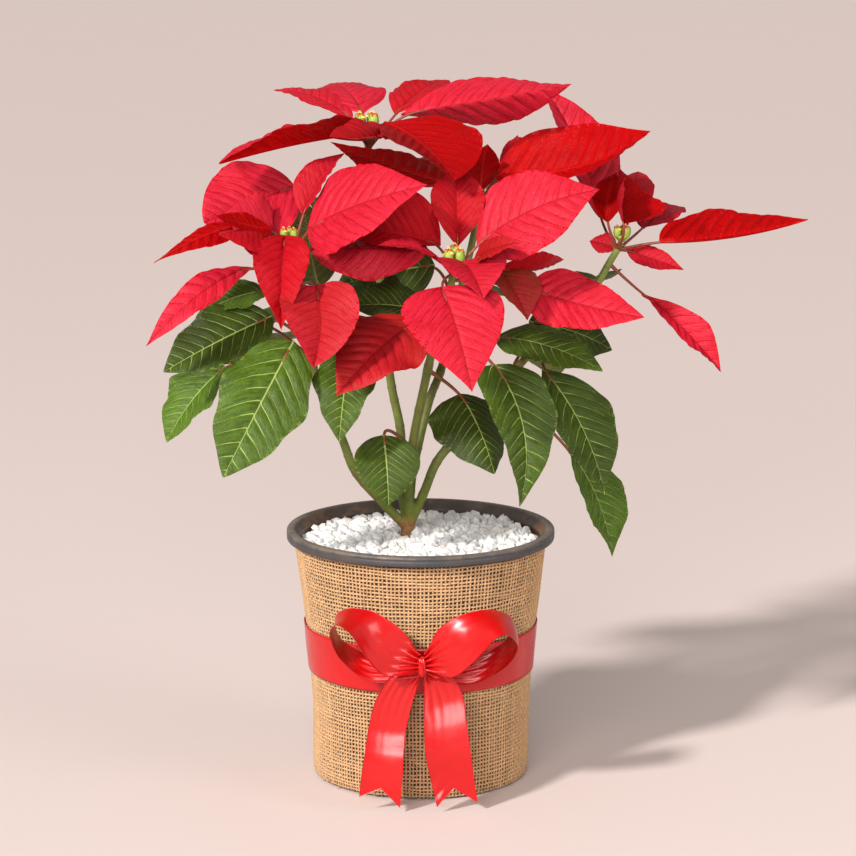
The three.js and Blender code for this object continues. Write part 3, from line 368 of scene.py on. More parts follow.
def course(points, u):
    """A Catmull-Rom curve through the points: between two of them a cubic whose slope at each is
    half the step between its neighbours. The ends are carried on in a straight line."""
    p = np.asarray(points, float)
    p = np.vstack([2 * p[0] - p[1], p, 2 * p[-1] - p[-2]])
    x = np.clip(np.asarray(u, float), 0, 1) * (len(p) - 3)
    i = np.minimum(x.astype(int), len(p) - 4)
    f = (x - i)[..., None]
    p0, p1, p2, p3 = p[i], p[i + 1], p[i + 2], p[i + 3]
    t0, t1 = (p2 - p0) / 2, (p3 - p1) / 2
    return p1 + t0 * f + (3 * (p2 - p1) - 2 * t0 - t1) * f**2 + (2 * (p1 - p2) + t0 + t1) * f**3


def run_length(points):
    """Distance along a row of points from its first one."""
    steps = np.linalg.norm(np.diff(points, axis=0), axis=1)
    return np.concatenate([[0], np.cumsum(steps)])


# ---- Helpers: meshes ---------------------------------------------------------------------------
# A part is a dict: "at" its points in millimetres, "faces" a list of (finish number, corner
# numbers), "marks" the values that its materials read. A finish number is a material's place in
# its piece: the only one, those of a leafy stem or a head, and those of a flower cluster.

ONLY = 0
SKIN, FACE, BACK = 0, 1, 2
CUP, LIP, GLAND = 0, 1, 2


def quads(index):
    """Four corners for each cell of a grid of point numbers, facing columns x rows."""
    corners = [index[:-1, :-1], index[:-1, 1:], index[1:, 1:], index[1:, :-1]]
    return np.stack(corners, axis=-1).reshape(-1, 4)


def fan(row, pole):
    """Triangles from each pair of neighbours in a row of point numbers to one pole."""
    return np.stack([row[:-1], row[1:], np.full(len(row) - 1, pole)], axis=-1)


def around(index):
    """A grid of point numbers with its first column repeated at the end, so that it closes."""
    return np.hstack([index, index[:, :1]])


def tube(path, radii, sides, finish=ONLY, marks=None, squash=1.0):
    """A round bar: a circle of radius r(u) carried along the path, its plane square to the path,
    closed by a point at each end that stands out by a share of the radius. squash flattens the
    circle."""
    path = np.asarray(path, float)
    radii = np.broadcast_to(np.asarray(radii, float), (len(path),))
    along = unit(np.gradient(path, axis=0))
    spare = np.eye(3)[np.argmin(np.abs(path[-1] - path[0]))]
    across = unit(np.cross(along, spare))
    other = np.cross(along, across)
    turn = TURN * np.arange(sides) / sides
    ring = np.cos(turn)[:, None] * across[:, None] + squash * np.sin(turn)[:, None] * other[:, None]
    at = path[:, None] + radii[:, None, None] * ring
    rows = len(path)
    index = around(np.arange(rows * sides).reshape(rows, sides))
    crown = radii[[0, -1]] * (-TUBE_CROWN, TUBE_CROWN)
    poles = path[[0, -1]] + along[[0, -1]] * crown[:, None]
    count = rows * sides
    faces = [(finish, quads(index)), (finish, fan(index[0][::-1], count)),
             (finish, fan(index[-1], count + 1))]
    spread = {k: np.concatenate([np.repeat(v, sides, axis=0), v[[0, -1]]])
              for k, v in (marks or {}).items()}
    return {"at": np.vstack([at.reshape(-1, 3), poles]), "faces": faces, "marks": spread}


def lathe(profile, sides, finish=ONLY, centre=(0, 0, 0), wobble=0.0, seed=0):
    """A shape turned about +Z: point (r, z) of the profile goes to (r cos a, r sin a, z) for every
    angle a. The profile runs up the outside, and its two ends lie on the axis. wobble makes it
    unround."""
    profile = np.asarray(profile, float)
    turn = TURN * np.arange(sides) / sides
    body = profile[1:-1]
    radius = body[:, :1] * (1 + wobble * smooth_noise(3 * np.cos(turn), 3 * np.sin(turn), seed))
    height = np.broadcast_to(body[:, 1:], radius.shape)
    at = np.stack([radius * np.cos(turn), radius * np.sin(turn), height], axis=-1)
    index = around(np.arange(at.shape[0] * sides).reshape(-1, sides))
    poles = np.array([(0, 0, profile[0, 1]), (0, 0, profile[-1, 1])])
    count = at.shape[0] * sides
    faces = [(finish, quads(index)), (finish, fan(index[0][::-1], count)),
             (finish, fan(index[-1], count + 1))]
    return {"at": np.vstack([at.reshape(-1, 3), poles]) + centre, "faces": faces, "marks": {}}


def slab(middle, thickness, closed=False):
    """A sheet with two faces: each point of the middle surface is moved half the thickness along
    the surface's normal, up and down, and a strip of quads joins the two round the border. closed
    joins its last row to the first."""
    rows, columns = middle.shape[:2]
    if closed:
        padded = np.concatenate([middle[-1:], middle, middle[:1]])
        down_rows = np.gradient(padded, axis=0)[1:-1]
    else:
        down_rows = np.gradient(middle, axis=0)
    normal = unit(np.cross(np.gradient(middle, axis=1), down_rows))
    lift = normal * thickness / 2
    count = rows * columns
    index = np.arange(count).reshape(rows, columns)
    if closed:
        index = np.vstack([index, index[:1]])
        borders = [index[::-1, 0], index[:, -1]]
    else:
        edge = [index[0], index[1:, -1], index[-1, -2::-1], index[-2::-1, 0]]
        borders = [np.concatenate(edge)[::-1]]
    faces = [(ONLY, quads(index)), (ONLY, quads(index + count)[:, ::-1])]
    for border in borders:
        faces.append((ONLY, quads(np.stack([border + count, border], axis=1))[:, ::-1]))
    at = np.vstack([(middle + lift).reshape(-1, 3), (middle - lift).reshape(-1, 3)])
    return {"at": at, "faces": faces, "marks": {}}


def make_mesh(name, parts, smooth):
    """All the parts in one mesh, in metres, with their values as point attributes. An edge where
    two finishes meet is sharp."""
    points, corners, sizes, finishes = [], [], [], []
    start = 0
    for part in parts:
        points.append(part["at"])
        for finish, block in part["faces"]:
            corners.append(block.ravel() + start)
            sizes.append(np.full(len(block), block.shape[1]))
            finishes.append(np.full(len(block), finish))
        start += len(part["at"])
    points, corners = np.vstack(points) * MM, np.concatenate(corners)
    sizes, finishes = np.concatenate(sizes), np.concatenate(finishes)
    mesh = bpy.data.meshes.new(name)
    mesh.vertices.add(len(points))
    mesh.vertices.foreach_set("co", points.ravel())
    mesh.loops.add(len(corners))
    mesh.loops.foreach_set("vertex_index", corners.astype(np.int32))
    mesh.polygons.add(len(sizes))
    mesh.polygons.foreach_set("loop_start", (np.cumsum(sizes) - sizes).astype(np.int32))
    mesh.polygons.foreach_set("material_index", finishes.astype(np.int32))
    mesh.polygons.foreach_set("use_smooth", np.full(len(sizes), smooth))
    mesh.update(calc_edges=True)
    edge = np.empty(len(corners), np.int32)
    mesh.loops.foreach_get("edge_index", edge)
    owner = np.repeat(finishes, sizes)
    low, high = np.full(len(mesh.edges), owner.max()), np.zeros(len(mesh.edges), int)
    np.minimum.at(low, edge, owner)
    np.maximum.at(high, edge, owner)
    mesh.edges.foreach_set("use_edge_sharp", low != high)
    for key in sorted({key for part in parts for key in part["marks"]}):
        values = [part["marks"].get(key, np.zeros((len(part["at"]), 3))) for part in parts]
        mesh.attributes.new(key, "FLOAT_VECTOR", "POINT")
        mesh.attributes[key].data.foreach_set("vector", np.vstack(values).ravel())
    if mesh.validate():
        raise RuntimeError(f"{name} has broken faces")
    return mesh


def add_piece(name, parts, materials, slot, replaced, smooth=True):
    """A finished piece: its mesh and materials, and the body and solid it belongs to. The slot is
    not used.
    """
    piece = bpy.data.objects.new(name, make_mesh(name, parts, smooth))
    bpy.context.scene.collection.objects.link(piece)
    for material in materials:
        piece.data.materials.append(material)
    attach(piece, "root")
    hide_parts(replaced)
    return piece


def bake_modifiers(piece):
    """Replaces a piece's mesh by what its modifiers make of it."""
    graph = bpy.context.evaluated_depsgraph_get()
    mesh = bpy.data.meshes.new_from_object(piece.evaluated_get(graph))
    piece.modifiers.clear()
    piece.data = mesh


# ---- Helpers: shader nodes ---------------------------------------------------------------------


class Web:
    """Adds nodes to one tree and links them."""

    def __init__(self, tree):
        self.tree = tree

    def feed(self, socket, value):
        """Links a socket to the input, or sets the input's own value."""
        if isinstance(value, bpy.types.NodeSocket):
            self.tree.links.new(value, socket)
        else:
            socket.default_value = value

    def node(self, kind, inputs=None, **settings):
        """A new shader node with its settings and inputs."""
        node = self.tree.nodes.new("ShaderNode" + kind)
        for key, value in settings.items():
            setattr(node, key, value)
        for key, value in (inputs or {}).items():
            self.feed(node.inputs[key], value)
        return node

    def math(self, operation, *values):
        """A Math node's result."""
        return self.node("Math", dict(enumerate(values)), operation=operation).outputs[0]

    def plus(self, *values):
        """The sum of two or more values."""
        return functools.reduce(lambda total, value: self.math("ADD", total, value), values)

    def times(self, first, second):
        """The product of two values."""
        return self.math("MULTIPLY", first, second)

    def ramp(self, value, low, high, start=0.0, end=1.0):
        """start where value is at or below low, end at or above high, smooth between."""
        inputs = {0: value, 1: low, 2: high, 3: start, 4: end}
        return self.node("MapRange", inputs, interpolation_type="SMOOTHSTEP").outputs[0]

    def blend(self, share, first, second):
        """A mix of two colours."""
        inputs = {0: share, 6: first, 7: second}
        return self.node("Mix", inputs, data_type="RGBA").outputs[2]

    def noise(self, vector, scale, detail=2.0, distortion=0.0):
        """A noise texture's value, from 0 to 1."""
        inputs = {"Vector": vector, "Scale": scale, "Detail": detail, "Distortion": distortion}
        return self.node("TexNoise", inputs).outputs[0]

    def mottle(self, place, scale):
        """The shared mottle at a scale."""
        return self.group(mottle_group(), Place=place, Scale=scale)[0]

    def place(self):
        """The point's place on the object."""
        return self.node("TexCoord").outputs["Object"]

    def split(self, vector):
        """A vector's three values."""
        return self.node("SeparateXYZ", {0: vector}).outputs

    def vector(self, *values):
        """A vector of up to three values."""
        return self.node("CombineXYZ", dict(enumerate(values))).outputs[0]

    def marks(self, name):
        """The three values of a point attribute, and all of them as one vector."""
        vector = self.node("Attribute", attribute_name=name).outputs["Vector"]
        return [*self.split(vector), vector]

    def group(self, tree, **inputs):
        """A node group placed with its own values."""
        node = self.tree.nodes.new("ShaderNodeGroup")
        node.node_tree = tree
        for key, value in inputs.items():
            self.feed(node.inputs[key], value)
        return node.outputs


def shared_group(name, inputs, outputs, fill):
    """A shader node group, made once: inputs are (name, kind, default), outputs (name, kind)."""
    if name in bpy.data.node_groups:
        return bpy.data.node_groups[name]
    tree = bpy.data.node_groups.new(name, "ShaderNodeTree")
    for label, kind, default in inputs:
        socket = tree.interface.new_socket(label, in_out="INPUT", socket_type="NodeSocket" + kind)
        if default is not None:
            socket.default_value = default
    for label, kind in outputs:
        tree.interface.new_socket(label, in_out="OUTPUT", socket_type="NodeSocket" + kind)
    source, result = tree.nodes.new("NodeGroupInput"), tree.nodes.new("NodeGroupOutput")
    for label, value in fill(Web(tree), source.outputs).items():
        tree.links.new(value, result.inputs[label])
    return tree


def finish(name, paint, **values):
    """A material around one Principled shader. paint(web, place) gives the linked inputs, values
    the plain ones, and "Height" with "Depth" in millimetres makes a bump."""
    if name in bpy.data.materials:
        return bpy.data.materials[name]
    material = bpy.data.materials.new(name)
    material.use_nodes = True
    tree = material.node_tree
    tree.nodes.clear()
    web = Web(tree)
    shader = tree.nodes.new("ShaderNodeBsdfPrincipled")
    result = tree.nodes.new("ShaderNodeOutputMaterial")
    tree.links.new(shader.outputs[0], result.inputs[0])
    linked = paint(web, web.place())
    height, depth = linked.pop("Height", None), linked.pop("Depth", 0.1)
    if height is not None:
        bump = web.node("Bump", {"Height": height, "Distance": depth * MM, "Strength": 1.0})
        linked["Normal"] = bump.outputs[0]
    for key, value in {**linked, **values}.items():
        web.feed(shader.inputs[key], value)
    return material


def vein_group():
    """Veins of a blade. Side veins lie where the phase is a whole number, and thin out towards
    the margin; the midrib lies where the distance across is 0; the net is a cell pattern between
    them, and the streaks are noise drawn out along the side veins."""

    def fill(web, given):
        phase, across, seed = web.split(given["Lie"])
        along, span, _ = web.split(given["Reach"])
        off = web.math("ABSOLUTE", web.math("SUBTRACT", web.math("FRACT", phase), 0.5))
        off = web.math("SUBTRACT", 0.5, off)
        width = web.times(given["Width"], web.ramp(span, 0.1, 0.95, 1.0, 0.25))
        side = web.ramp(web.math("DIVIDE", off, width), 0.35, 1.0, 1.0, 0.0)
        side = web.times(side, web.ramp(span, 0.86, 0.97, 1.0, 0.0))
        rib_width = web.ramp(along, 0.0, 1.0, 0.62, 0.16)
        rib = web.math("DIVIDE", web.math("ABSOLUTE", across), rib_width)
        rib = web.ramp(rib, 0.5, 1.1, 1.0, 0.0)
        lie = web.vector(web.times(phase, 2.6), web.times(across, 0.42), web.times(seed, 37.0))
        bent = web.node("TexNoise", {"Vector": lie, "Scale": 1.3, "Detail": 1.0}).outputs[1]
        lie = web.node("VectorMath", {0: lie, 1: bent}, operation="ADD").outputs[0]
        cells = web.node("TexVoronoi", {"Vector": lie, "Scale": 1.0}, feature="DISTANCE_TO_EDGE")
        strokes = web.vector(web.times(phase, 4.4), web.times(across, 0.17),
                             web.times(seed, 91.0))
        return {"Vein": web.math("MAXIMUM", side, rib), "Midrib": rib,
                "Net": web.ramp(cells.outputs[0], 0.0, 0.16),
                "Streak": web.noise(strokes, 1.0, 3.0, 0.7)}

    inputs = [("Lie", "Vector", None), ("Reach", "Vector", None), ("Width", "Float", 0.06)]
    outputs = [("Vein", "Float"), ("Net", "Float"), ("Midrib", "Float"), ("Streak", "Float")]
    return shared_group("Blade veins", inputs, outputs, fill)


def mottle_group():
    """Two sizes of noise mixed into one value, for colour that varies over a surface."""

    def fill(web, given):
        broad = web.noise(given["Place"], given["Scale"], 3.0, 0.4)
        fine = web.noise(given["Place"], web.times(given["Scale"], 6.0), 3.0)
        both = web.plus(web.times(broad, 0.65), web.times(fine, 0.35))
        return {"Value": web.ramp(both, 0.3, 0.7)}

    inputs = [("Place", "Vector", None), ("Scale", "Float", 30.0)]
    return shared_group("Mottle", inputs, [("Value", "Float")], fill)


# ---- Finishes ----------------------------------------------------------------------------------
# Colours are linear red, green, blue and alpha. A mottle's or a grain's scale is per metre.

# The SHADE colours are what a blade darkens towards: painted light and shade by the tone where a
# blade's tone is given, and painted shade in its low streaks.
# The bracts' dark vein colour is painted shade in the sunken veins and midrib of their upper face.
BRACT_SHADE, BRACT_VEIN_GROOVE_SHADE = (0.38, 0.001, 0.004, 1.0), (0.26, 0.001, 0.003, 1.0)
BRACT_UNDER, BRACT_UNDER_VEIN = (0.46, 0.001, 0.002, 1.0), (0.62, 0.020, 0.020, 1.0)
LEAF_SHADE, LEAF_VEIN = (0.024, 0.036, 0.002, 1.0), (0.36, 0.46, 0.12, 1.0)
LEAF_UNDER, LEAF_UNDER_SHADE = (0.17, 0.21, 0.05, 1.0), (0.10, 0.13, 0.025, 1.0)
LEAF_UNDER_VEIN = (0.36, 0.42, 0.16, 1.0)
BROWN_BLUSH, OLIVE_BLUSH = (0.12, 0.035, 0.008, 1.0), (0.16, 0.17, 0.03, 1.0)
STEM_GREENS = (0.095, 0.135, 0.014, 1.0), (0.18, 0.215, 0.032, 1.0)
STEM_REDS = (0.30, 0.03, 0.02, 1.0), (0.16, 0.04, 0.015, 1.0)
STEM_SCAR = (0.17, 0.10, 0.045, 1.0)
BARK_BROWNS = (0.20, 0.09, 0.025, 1.0), (0.42, 0.22, 0.07, 1.0)
BARK_TURNS_GREEN = (0.139, 0.149)
POT_DUST, POT_WORN = (0.105, 0.075, 0.055, 1.0), (0.23, 0.18, 0.14, 1.0)
POT_STAINS = (0.085, 0.058, 0.045, 1.0), (0.20, 0.105, 0.055, 1.0)
# Painted shade, tinted brown by light through the jute, on the pot's wall behind the burlap.
POT_SHADE_BEHIND_BURLAP = (0.055, 0.024, 0.010, 1.0)
CHIP_GREY, CHIP_WARM = (0.60, 0.60, 0.61, 1.0), (0.78, 0.70, 0.58, 1.0)

# Plain finishes: two colours that mottle, the mottle's scale, the least and greatest roughness,
# the grain's scale and its depth in millimetres.
PLAIN = {
    "cup_green": ((0.20, 0.32, 0.03, 1.0), (0.34, 0.45, 0.06, 1.0), 220.0, (0.3, 0.45),
                  1500.0, 0.1),
    "lip_red": ((0.50, 0.02, 0.02, 1.0), (0.66, 0.10, 0.03, 1.0), 400.0, (0.35, 0.5), 1500.0, 0.1),
    "gland_yellow": ((0.78, 0.58, 0.05, 1.0), (0.85, 0.72, 0.16, 1.0), 400.0, (0.2, 0.35),
                     1500.0, 0.05),
    "soil_dark": ((0.018, 0.011, 0.007, 1.0), (0.06, 0.038, 0.024, 1.0), 300.0, (0.85, 1.0),
                  900.0, 1.0),
}


def tint(colour, factor):
    """A colour made lighter or darker."""
    return (*(min(1.0, c * factor) for c in colour[:3]), 1.0)


def plain_finish(name, first, second, scale, rough, grain, depth):
    """A finish mottled between two colours, with a fine grain."""

    def paint(web, place):
        mottle = web.mottle(place, scale)
        return {"Base Color": web.blend(mottle, first, second),
                "Roughness": web.ramp(mottle, 0.0, 1.0, *rough),
                "Height": web.noise(place, grain, 4.0), "Depth": depth}

    return finish(name, paint)


def blade_finish(name, face, deep, vein, vein_share, bump, blush, shine):
    """One side of a blade: mottled between two colours, with coloured veins (on the bracts'
    upper face the dark veins and midrib are painted shade in their sunken grooves), a darker net,
    painted shade in the low streaks that the bump draws as wrinkles, and patches of blush where
    the blade is half turned. Where a blade's tone is given, its mix of the two colours is painted
    light and shade."""

    def paint(web, place):
        _, _, tone, lie = web.marks("veins")
        _, _, turned, reach = web.marks("reach")
        veins, net, rib, streak = web.group(vein_group(), Lie=lie, Reach=reach)
        mottle = web.mottle(place, 26.0)
        broken = web.ramp(web.noise(place, 85.0), 0.36, 0.6, 0.3, 1.0)
        line = web.math("MAXIMUM", web.times(veins, broken), rib)
        # The tone mixes in the shade colour: painted light and shade where a blade's tone is given.
        share = web.plus(web.times(mottle, 0.35), web.times(tone, 0.65))
        colour = web.blend(share, face, deep)
        patch = web.times(turned, web.ramp(mottle, 0.15, 0.75, 0.55, 1.0))
        colour = web.blend(patch, colour, blush)
        colour = web.blend(web.ramp(net, 0.0, 1.0, 0.22, 0.0), colour, deep)
        # Painted shade in the low streaks, the valleys that the bump draws as wrinkles.
        colour = web.blend(web.ramp(streak, 0.34, 0.56, 0.55, 0.0), colour, deep)
        colour = web.blend(web.times(line, vein_share), colour, vein)
        grain = web.noise(place, 900.0, 3.0)
        height = web.plus(web.times(net, 0.4), web.times(grain, 0.3), web.times(streak, 2.6),
                          web.times(veins, bump))
        return {"Base Color": colour, "Roughness": web.ramp(grain, 0.2, 0.8, 0.42, 0.6),
                "Height": height, "Depth": 0.16}

    return finish(name, paint, **{"Specular IOR Level": shine})


def bract_finishes(look):
    """The stem's skin and the upper and lower finishes of bracts."""
    return [
        stem_finish(),
        # The face's dark veins are painted shade in the sunken veins and midrib.
        blade_finish("bract_face", look.bract_colour[:], BRACT_SHADE, BRACT_VEIN_GROOVE_SHADE, 0.75, -1.0,
                     BROWN_BLUSH, 0.16),
        blade_finish("bract_back", BRACT_UNDER, tint(BRACT_UNDER, 0.62), BRACT_UNDER_VEIN, 0.45,
                     1.2, BROWN_BLUSH, 0.06),
    ]


def leaf_finishes(look):
    """The stem's skin and the upper and lower finishes of leaves."""
    return [
        stem_finish(),
        blade_finish("leaf_face", look.leaf_colour[:], LEAF_SHADE, LEAF_VEIN, 0.8, -0.6,
                     BROWN_BLUSH, 0.24),
        blade_finish("leaf_back", LEAF_UNDER, LEAF_UNDER_SHADE, LEAF_UNDER_VEIN, 0.7, 1.2,
                     OLIVE_BLUSH, 0.24),
    ]


def stem_finish():
    """Green stems and stalks that redden with the blush, with brown scars."""

    def paint(web, place):
        red, scar, _, _ = web.marks("stem")
        mottle = web.mottle(place, 90.0)
        green, reddened = web.blend(mottle, *STEM_GREENS), web.blend(mottle, *STEM_REDS)
        colour = web.blend(scar, web.blend(red, green, reddened), STEM_SCAR)
        return {"Base Color": colour, "Roughness": web.ramp(mottle, 0.0, 1.0, 0.42, 0.6),
                "Height": web.noise(place, 700.0, 3.0), "Depth": 0.15}

    return finish("stem_skin", paint)


def bark_finish():
    """Brown bark at the foot that turns green higher up, with lengthwise ridges."""

    def paint(web, place):
        mottle = web.mottle(place, 120.0)
        brown, green = web.blend(mottle, *BARK_BROWNS), web.blend(mottle, *STEM_GREENS)
        rise = web.plus(web.split(place)[2], web.times(web.math("SUBTRACT", mottle, 0.5), 0.008))
        colour = web.blend(web.ramp(rise, *BARK_TURNS_GREEN), brown, green)
        stretched = web.node("Mapping", {"Vector": place, "Scale": (1.0, 1.0, 0.25)}).outputs[0]
        return {"Base Color": colour, "Roughness": web.ramp(mottle, 0.0, 1.0, 0.6, 0.85),
                "Height": web.noise(stretched, 900.0, 4.0), "Depth": 0.5}

    return finish("bark_skin", paint)


def pot_finish(look):
    """Dark plastic, scuffed and dusted brown on the rim and inside it, with painted shade, tinted
    brown by light through the jute, on the wall that the burlap covers."""

    def paint(web, place):
        x, y, z = web.split(place)
        reach = web.node("VectorMath", {0: web.vector(x, y)}, operation="LENGTH").outputs[1]
        dust = web.mottle(place, 38.0)
        colour = web.blend(web.times(dust, 0.45), look.pot_colour[:], POT_DUST)
        worn = web.ramp(web.plus(z, web.times(dust, 0.0016)), 0.1385, 0.1412)
        colour = web.blend(web.times(worn, 0.6), colour, POT_WORN)
        stained = web.blend(web.ramp(dust, 0.45, 0.8), *POT_STAINS)
        inner = web.times(web.ramp(reach, 0.0696, 0.0704, 1.0, 0.0), 0.75)
        colour = web.blend(inner, colour, stained)
        # Painted shade, tinted brown by light through the jute, below the rim where the burlap
        # covers the wall.
        colour = web.blend(web.ramp(z, 0.1336, 0.1343, 1.0, 0.0), colour, POT_SHADE_BEHIND_BURLAP)
        scuffs = web.noise(place, 260.0, 5.0, 1.5)
        return {"Base Color": colour, "Roughness": web.ramp(scuffs, 0.3, 0.7, 0.34, 0.6),
                "Height": scuffs, "Depth": 0.12}

    return finish("pot_plastic_black", paint)


def gravel_finish(look):
    """White marble chips, each a little greyer or warmer than the next."""

    def paint(web, place):
        tone, warm, _, _ = web.marks("chip")
        mottle = web.mottle(place, 210.0)
        base = look.gravel_colour[:]
        colour = web.blend(web.times(mottle, 0.5), base, tint(base, 0.82))
        colour = web.blend(web.times(tone, 0.55), colour, CHIP_GREY)
        colour = web.blend(web.times(warm, 0.35), colour, CHIP_WARM)
        return {"Base Color": colour, "Roughness": web.ramp(mottle, 0.0, 1.0, 0.5, 0.75),
                "Height": web.noise(place, 1100.0, 4.0), "Depth": 0.22}

    return finish("gravel_white", paint)


def burlap_finish(look):
    """Jute yarn: each yarn has its own tone, twisted fibres run along it."""

    def paint(web, place):
        tone, along, across, _ = web.marks("yarn")
        base = look.yarn_colour[:]
        colour = web.blend(tone, tint(base, 0.7), tint(base, 1.22))
        colour = web.blend(web.times(web.mottle(place, 70.0), 0.35), colour, tint(base, 0.62))
        twist = web.vector(web.plus(web.times(along, 1.1), web.times(across, 2.2)), tone)
        fibres = web.noise(twist, 5.0, 3.0)
        colour = web.blend(web.ramp(fibres, 0.3, 0.7, 0.35, 0.0), colour, tint(base, 0.5))
        return {"Base Color": colour, "Roughness": web.ramp(fibres, 0.0, 1.0, 0.8, 0.95),
                "Height": fibres, "Depth": 0.25}

    return finish("burlap_jute", paint)


def satin_finish(look):
    """Red satin: fine threads across the ribbon and soft crumples."""

    def paint(web, place):
        mottle = web.mottle(place, 24.0)
        base = look.satin_colour[:]
        threads = web.times(web.noise(place, 2600.0, 1.0), 0.05)
        return {"Base Color": web.blend(mottle, base, tint(base, 0.86)),
                "Roughness": web.ramp(mottle, 0.0, 1.0, 0.25, 0.31),
                "Height": web.plus(web.noise(place, 70.0, 3.0, 0.6), threads), "Depth": 0.2}

    return finish("satin_red", paint)


# ---- Pot, soil and gravel ----------------------------------------------------------------------


def pot_radius(z):
    """The pot's outer radius at a height."""
    return POT_BASE_RADIUS + POT_FLARE * z


def pot_profile():
    """The pot's outline from the middle of its floor, up the outside, over the rim and down the
    inside to the floor again: [radius, height] pairs."""
    outside = [(0, 0), (POT_BASE_RADIUS - 1.2, 0), (POT_BASE_RADIUS - 0.3, 0.3),
               (pot_radius(1), 1.0)]
    outside += [(pot_radius(z), z) for z in np.linspace(4, RIM_LOW - 0.2, 18)]
    rim = [(RIM_RADIUS - inwards, RIM_LOW + up) for inwards, up in RIM_OUTSIDE]
    rim += [(RIM_INNER_RADIUS + out, POT_HEIGHT - down) for out, down in RIM_INSIDE]
    rim += [(pot_radius(RIM_LOW) - POT_WALL + 0.2, RIM_LOW + 1.4)]
    inside = [(pot_radius(z) - POT_WALL, z) for z in np.linspace(RIM_LOW, POT_WALL + 2, 18)]
    floor = [(pot_radius(0) - POT_WALL - 1.5, POT_WALL), (0, POT_WALL)]
    return outside + rim + inside + floor


def make_pot(look):
    """The nursery pot: a turned wall with a rolled rim, and a ring of drain holes in its floor."""
    piece = add_piece("pot_shell", [lathe(pot_profile(), look.pot_sides)], [pot_finish(look)],
                      "pot_plastic", "pot")
    turn = TURN * np.arange(DRAIN_HOLES) / DRAIN_HOLES
    plugs = []
    for x, y in zip(DRAIN_CIRCLE * np.cos(turn), DRAIN_CIRCLE * np.sin(turn)):
        plugs.append(tube([(x, y, -1), (x, y, 1), (x, y, POT_WALL + 1)], DRAIN_RADIUS, 32))
    cutter = bpy.data.objects.new("drain_plugs", make_mesh("drain_plugs", plugs, True))
    bpy.context.scene.collection.objects.link(cutter)
    holes = piece.modifiers.new("holes", "BOOLEAN")
    holes.operation, holes.object = "DIFFERENCE", cutter
    bake_modifiers(piece)
    bpy.data.objects.remove(cutter)


def gravel_height(x, y):
    """Height of the gravel: level at the pot's wall and mounded in the middle."""
    reach = np.hypot(x, y) / pot_radius(GRAVEL_EDGE)
    return GRAVEL_EDGE + GRAVEL_MOUND * (1 - reach**2)


def chip_shape():
    """The twelve points and twenty triangles of an icosahedron of radius 1."""
    g = (1 + 5**0.5) / 2
    points = [(-1, g, 0), (1, g, 0), (-1, -g, 0), (1, -g, 0), (0, -1, g), (0, 1, g), (0, -1, -g),
              (0, 1, -g), (g, 0, -1), (g, 0, 1), (-g, 0, -1), (-g, 0, 1)]
    faces = [(0, 11, 5), (0, 5, 1), (0, 1, 7), (0, 7, 10), (0, 10, 11), (1, 5, 9), (5, 11, 4),
             (11, 10, 2), (10, 7, 6), (7, 1, 8), (3, 9, 4), (3, 4, 2), (3, 2, 6), (3, 6, 8),
             (3, 8, 9), (4, 9, 5), (2, 4, 11), (6, 2, 10), (8, 6, 7), (9, 8, 1)]
    return unit(np.array(points, float)), np.array(faces)


def turns(random, count):
    """Random rotation matrices, each from a random unit quaternion."""
    w, x, y, z = unit(random.normal(size=(count, 4))).T
    rows = [[1 - 2 * (y * y + z * z), 2 * (x * y - w * z), 2 * (x * z + w * y)],
            [2 * (x * y + w * z), 1 - 2 * (x * x + z * z), 2 * (y * z - w * x)],
            [2 * (x * z - w * y), 2 * (y * z + w * x), 1 - 2 * (x * x + y * y)]]
    return np.moveaxis(np.array(rows), -1, 0)


def make_gravel(look):
    """Marble chips strewn in layers over a bed: each is an icosahedron stretched by its own three
    sizes, with every corner pushed in or out, and turned at random."""
    random = np.random.default_rng(11)
    shape, triangles = chip_shape()
    outer = pot_radius(GRAVEL_EDGE) - POT_WALL
    layers = []
    for spacing, depth in CHIP_LAYERS:
        lines = np.arange(-outer, outer, spacing)
        x, y = (a.ravel() for a in np.meshgrid(lines, lines))
        x, y = (a + random.uniform(-0.55, 0.55, a.shape) * spacing for a in (x, y))
        keep = np.hypot(x, y) < outer - 3.0
        keep &= np.hypot(x - TRUNK[0], y - TRUNK[1]) > TRUNK_RADIUS + 1.8
        x, y = x[keep], y[keep]
        z = gravel_height(x, y) - depth + random.uniform(-0.8, 0.8, len(x))
        layers.append(np.stack([x, y, z], axis=-1))
    centre = np.vstack(layers)
    count, corners = len(centre), len(shape)
    size = random.uniform(*CHIP_SIZES, (count, 1)) * random.uniform(0.62, 1.1, (count, 3))
    at = shape * (1 + random.uniform(-0.2, 0.24, (count, corners, 1))) * size[:, None]
    at = np.einsum("nij,nkj->nki", turns(random, count), at) + centre[:, None]
    faces = triangles + corners * np.arange(count)[:, None, None]
    marks = np.repeat(random.uniform(0, 1, (count, 3)) ** 3, corners, axis=0)
    chips = {"at": at.reshape(-1, 3), "faces": [(ONLY, faces.reshape(-1, 3))],
             "marks": {"chip": marks}}
    floor, top = SOIL_TOP + 0.3, GRAVEL_EDGE - 2.2
    bed = lathe([(0, floor), (outer - 1.6, floor), (outer - 0.3, top),
                 (TRUNK_RADIUS, top + GRAVEL_MOUND), (0, top + GRAVEL_MOUND)], 64)
    add_piece("gravel_chips", [chips, bed], [gravel_finish(look)], "gravel", "gravel", smooth=False)


# ---- Burlap and ribbon -------------------------------------------------------------------------


def outwards(turn):
    """The level direction away from the axis at an angle about +Z."""
    return np.stack([np.cos(turn), np.sin(turn), np.zeros_like(turn)], axis=-1)


def wrap_radius(z):
    """The burlap's outer radius at a height: the wrap's outline, eased over its corners by
    averaging five heights near by."""
    radius, height = zip(*WRAP_PROFILE)
    return np.mean([np.interp(z + d, height, radius) for d in (-4, -2, 0, 2, 4)], axis=0)


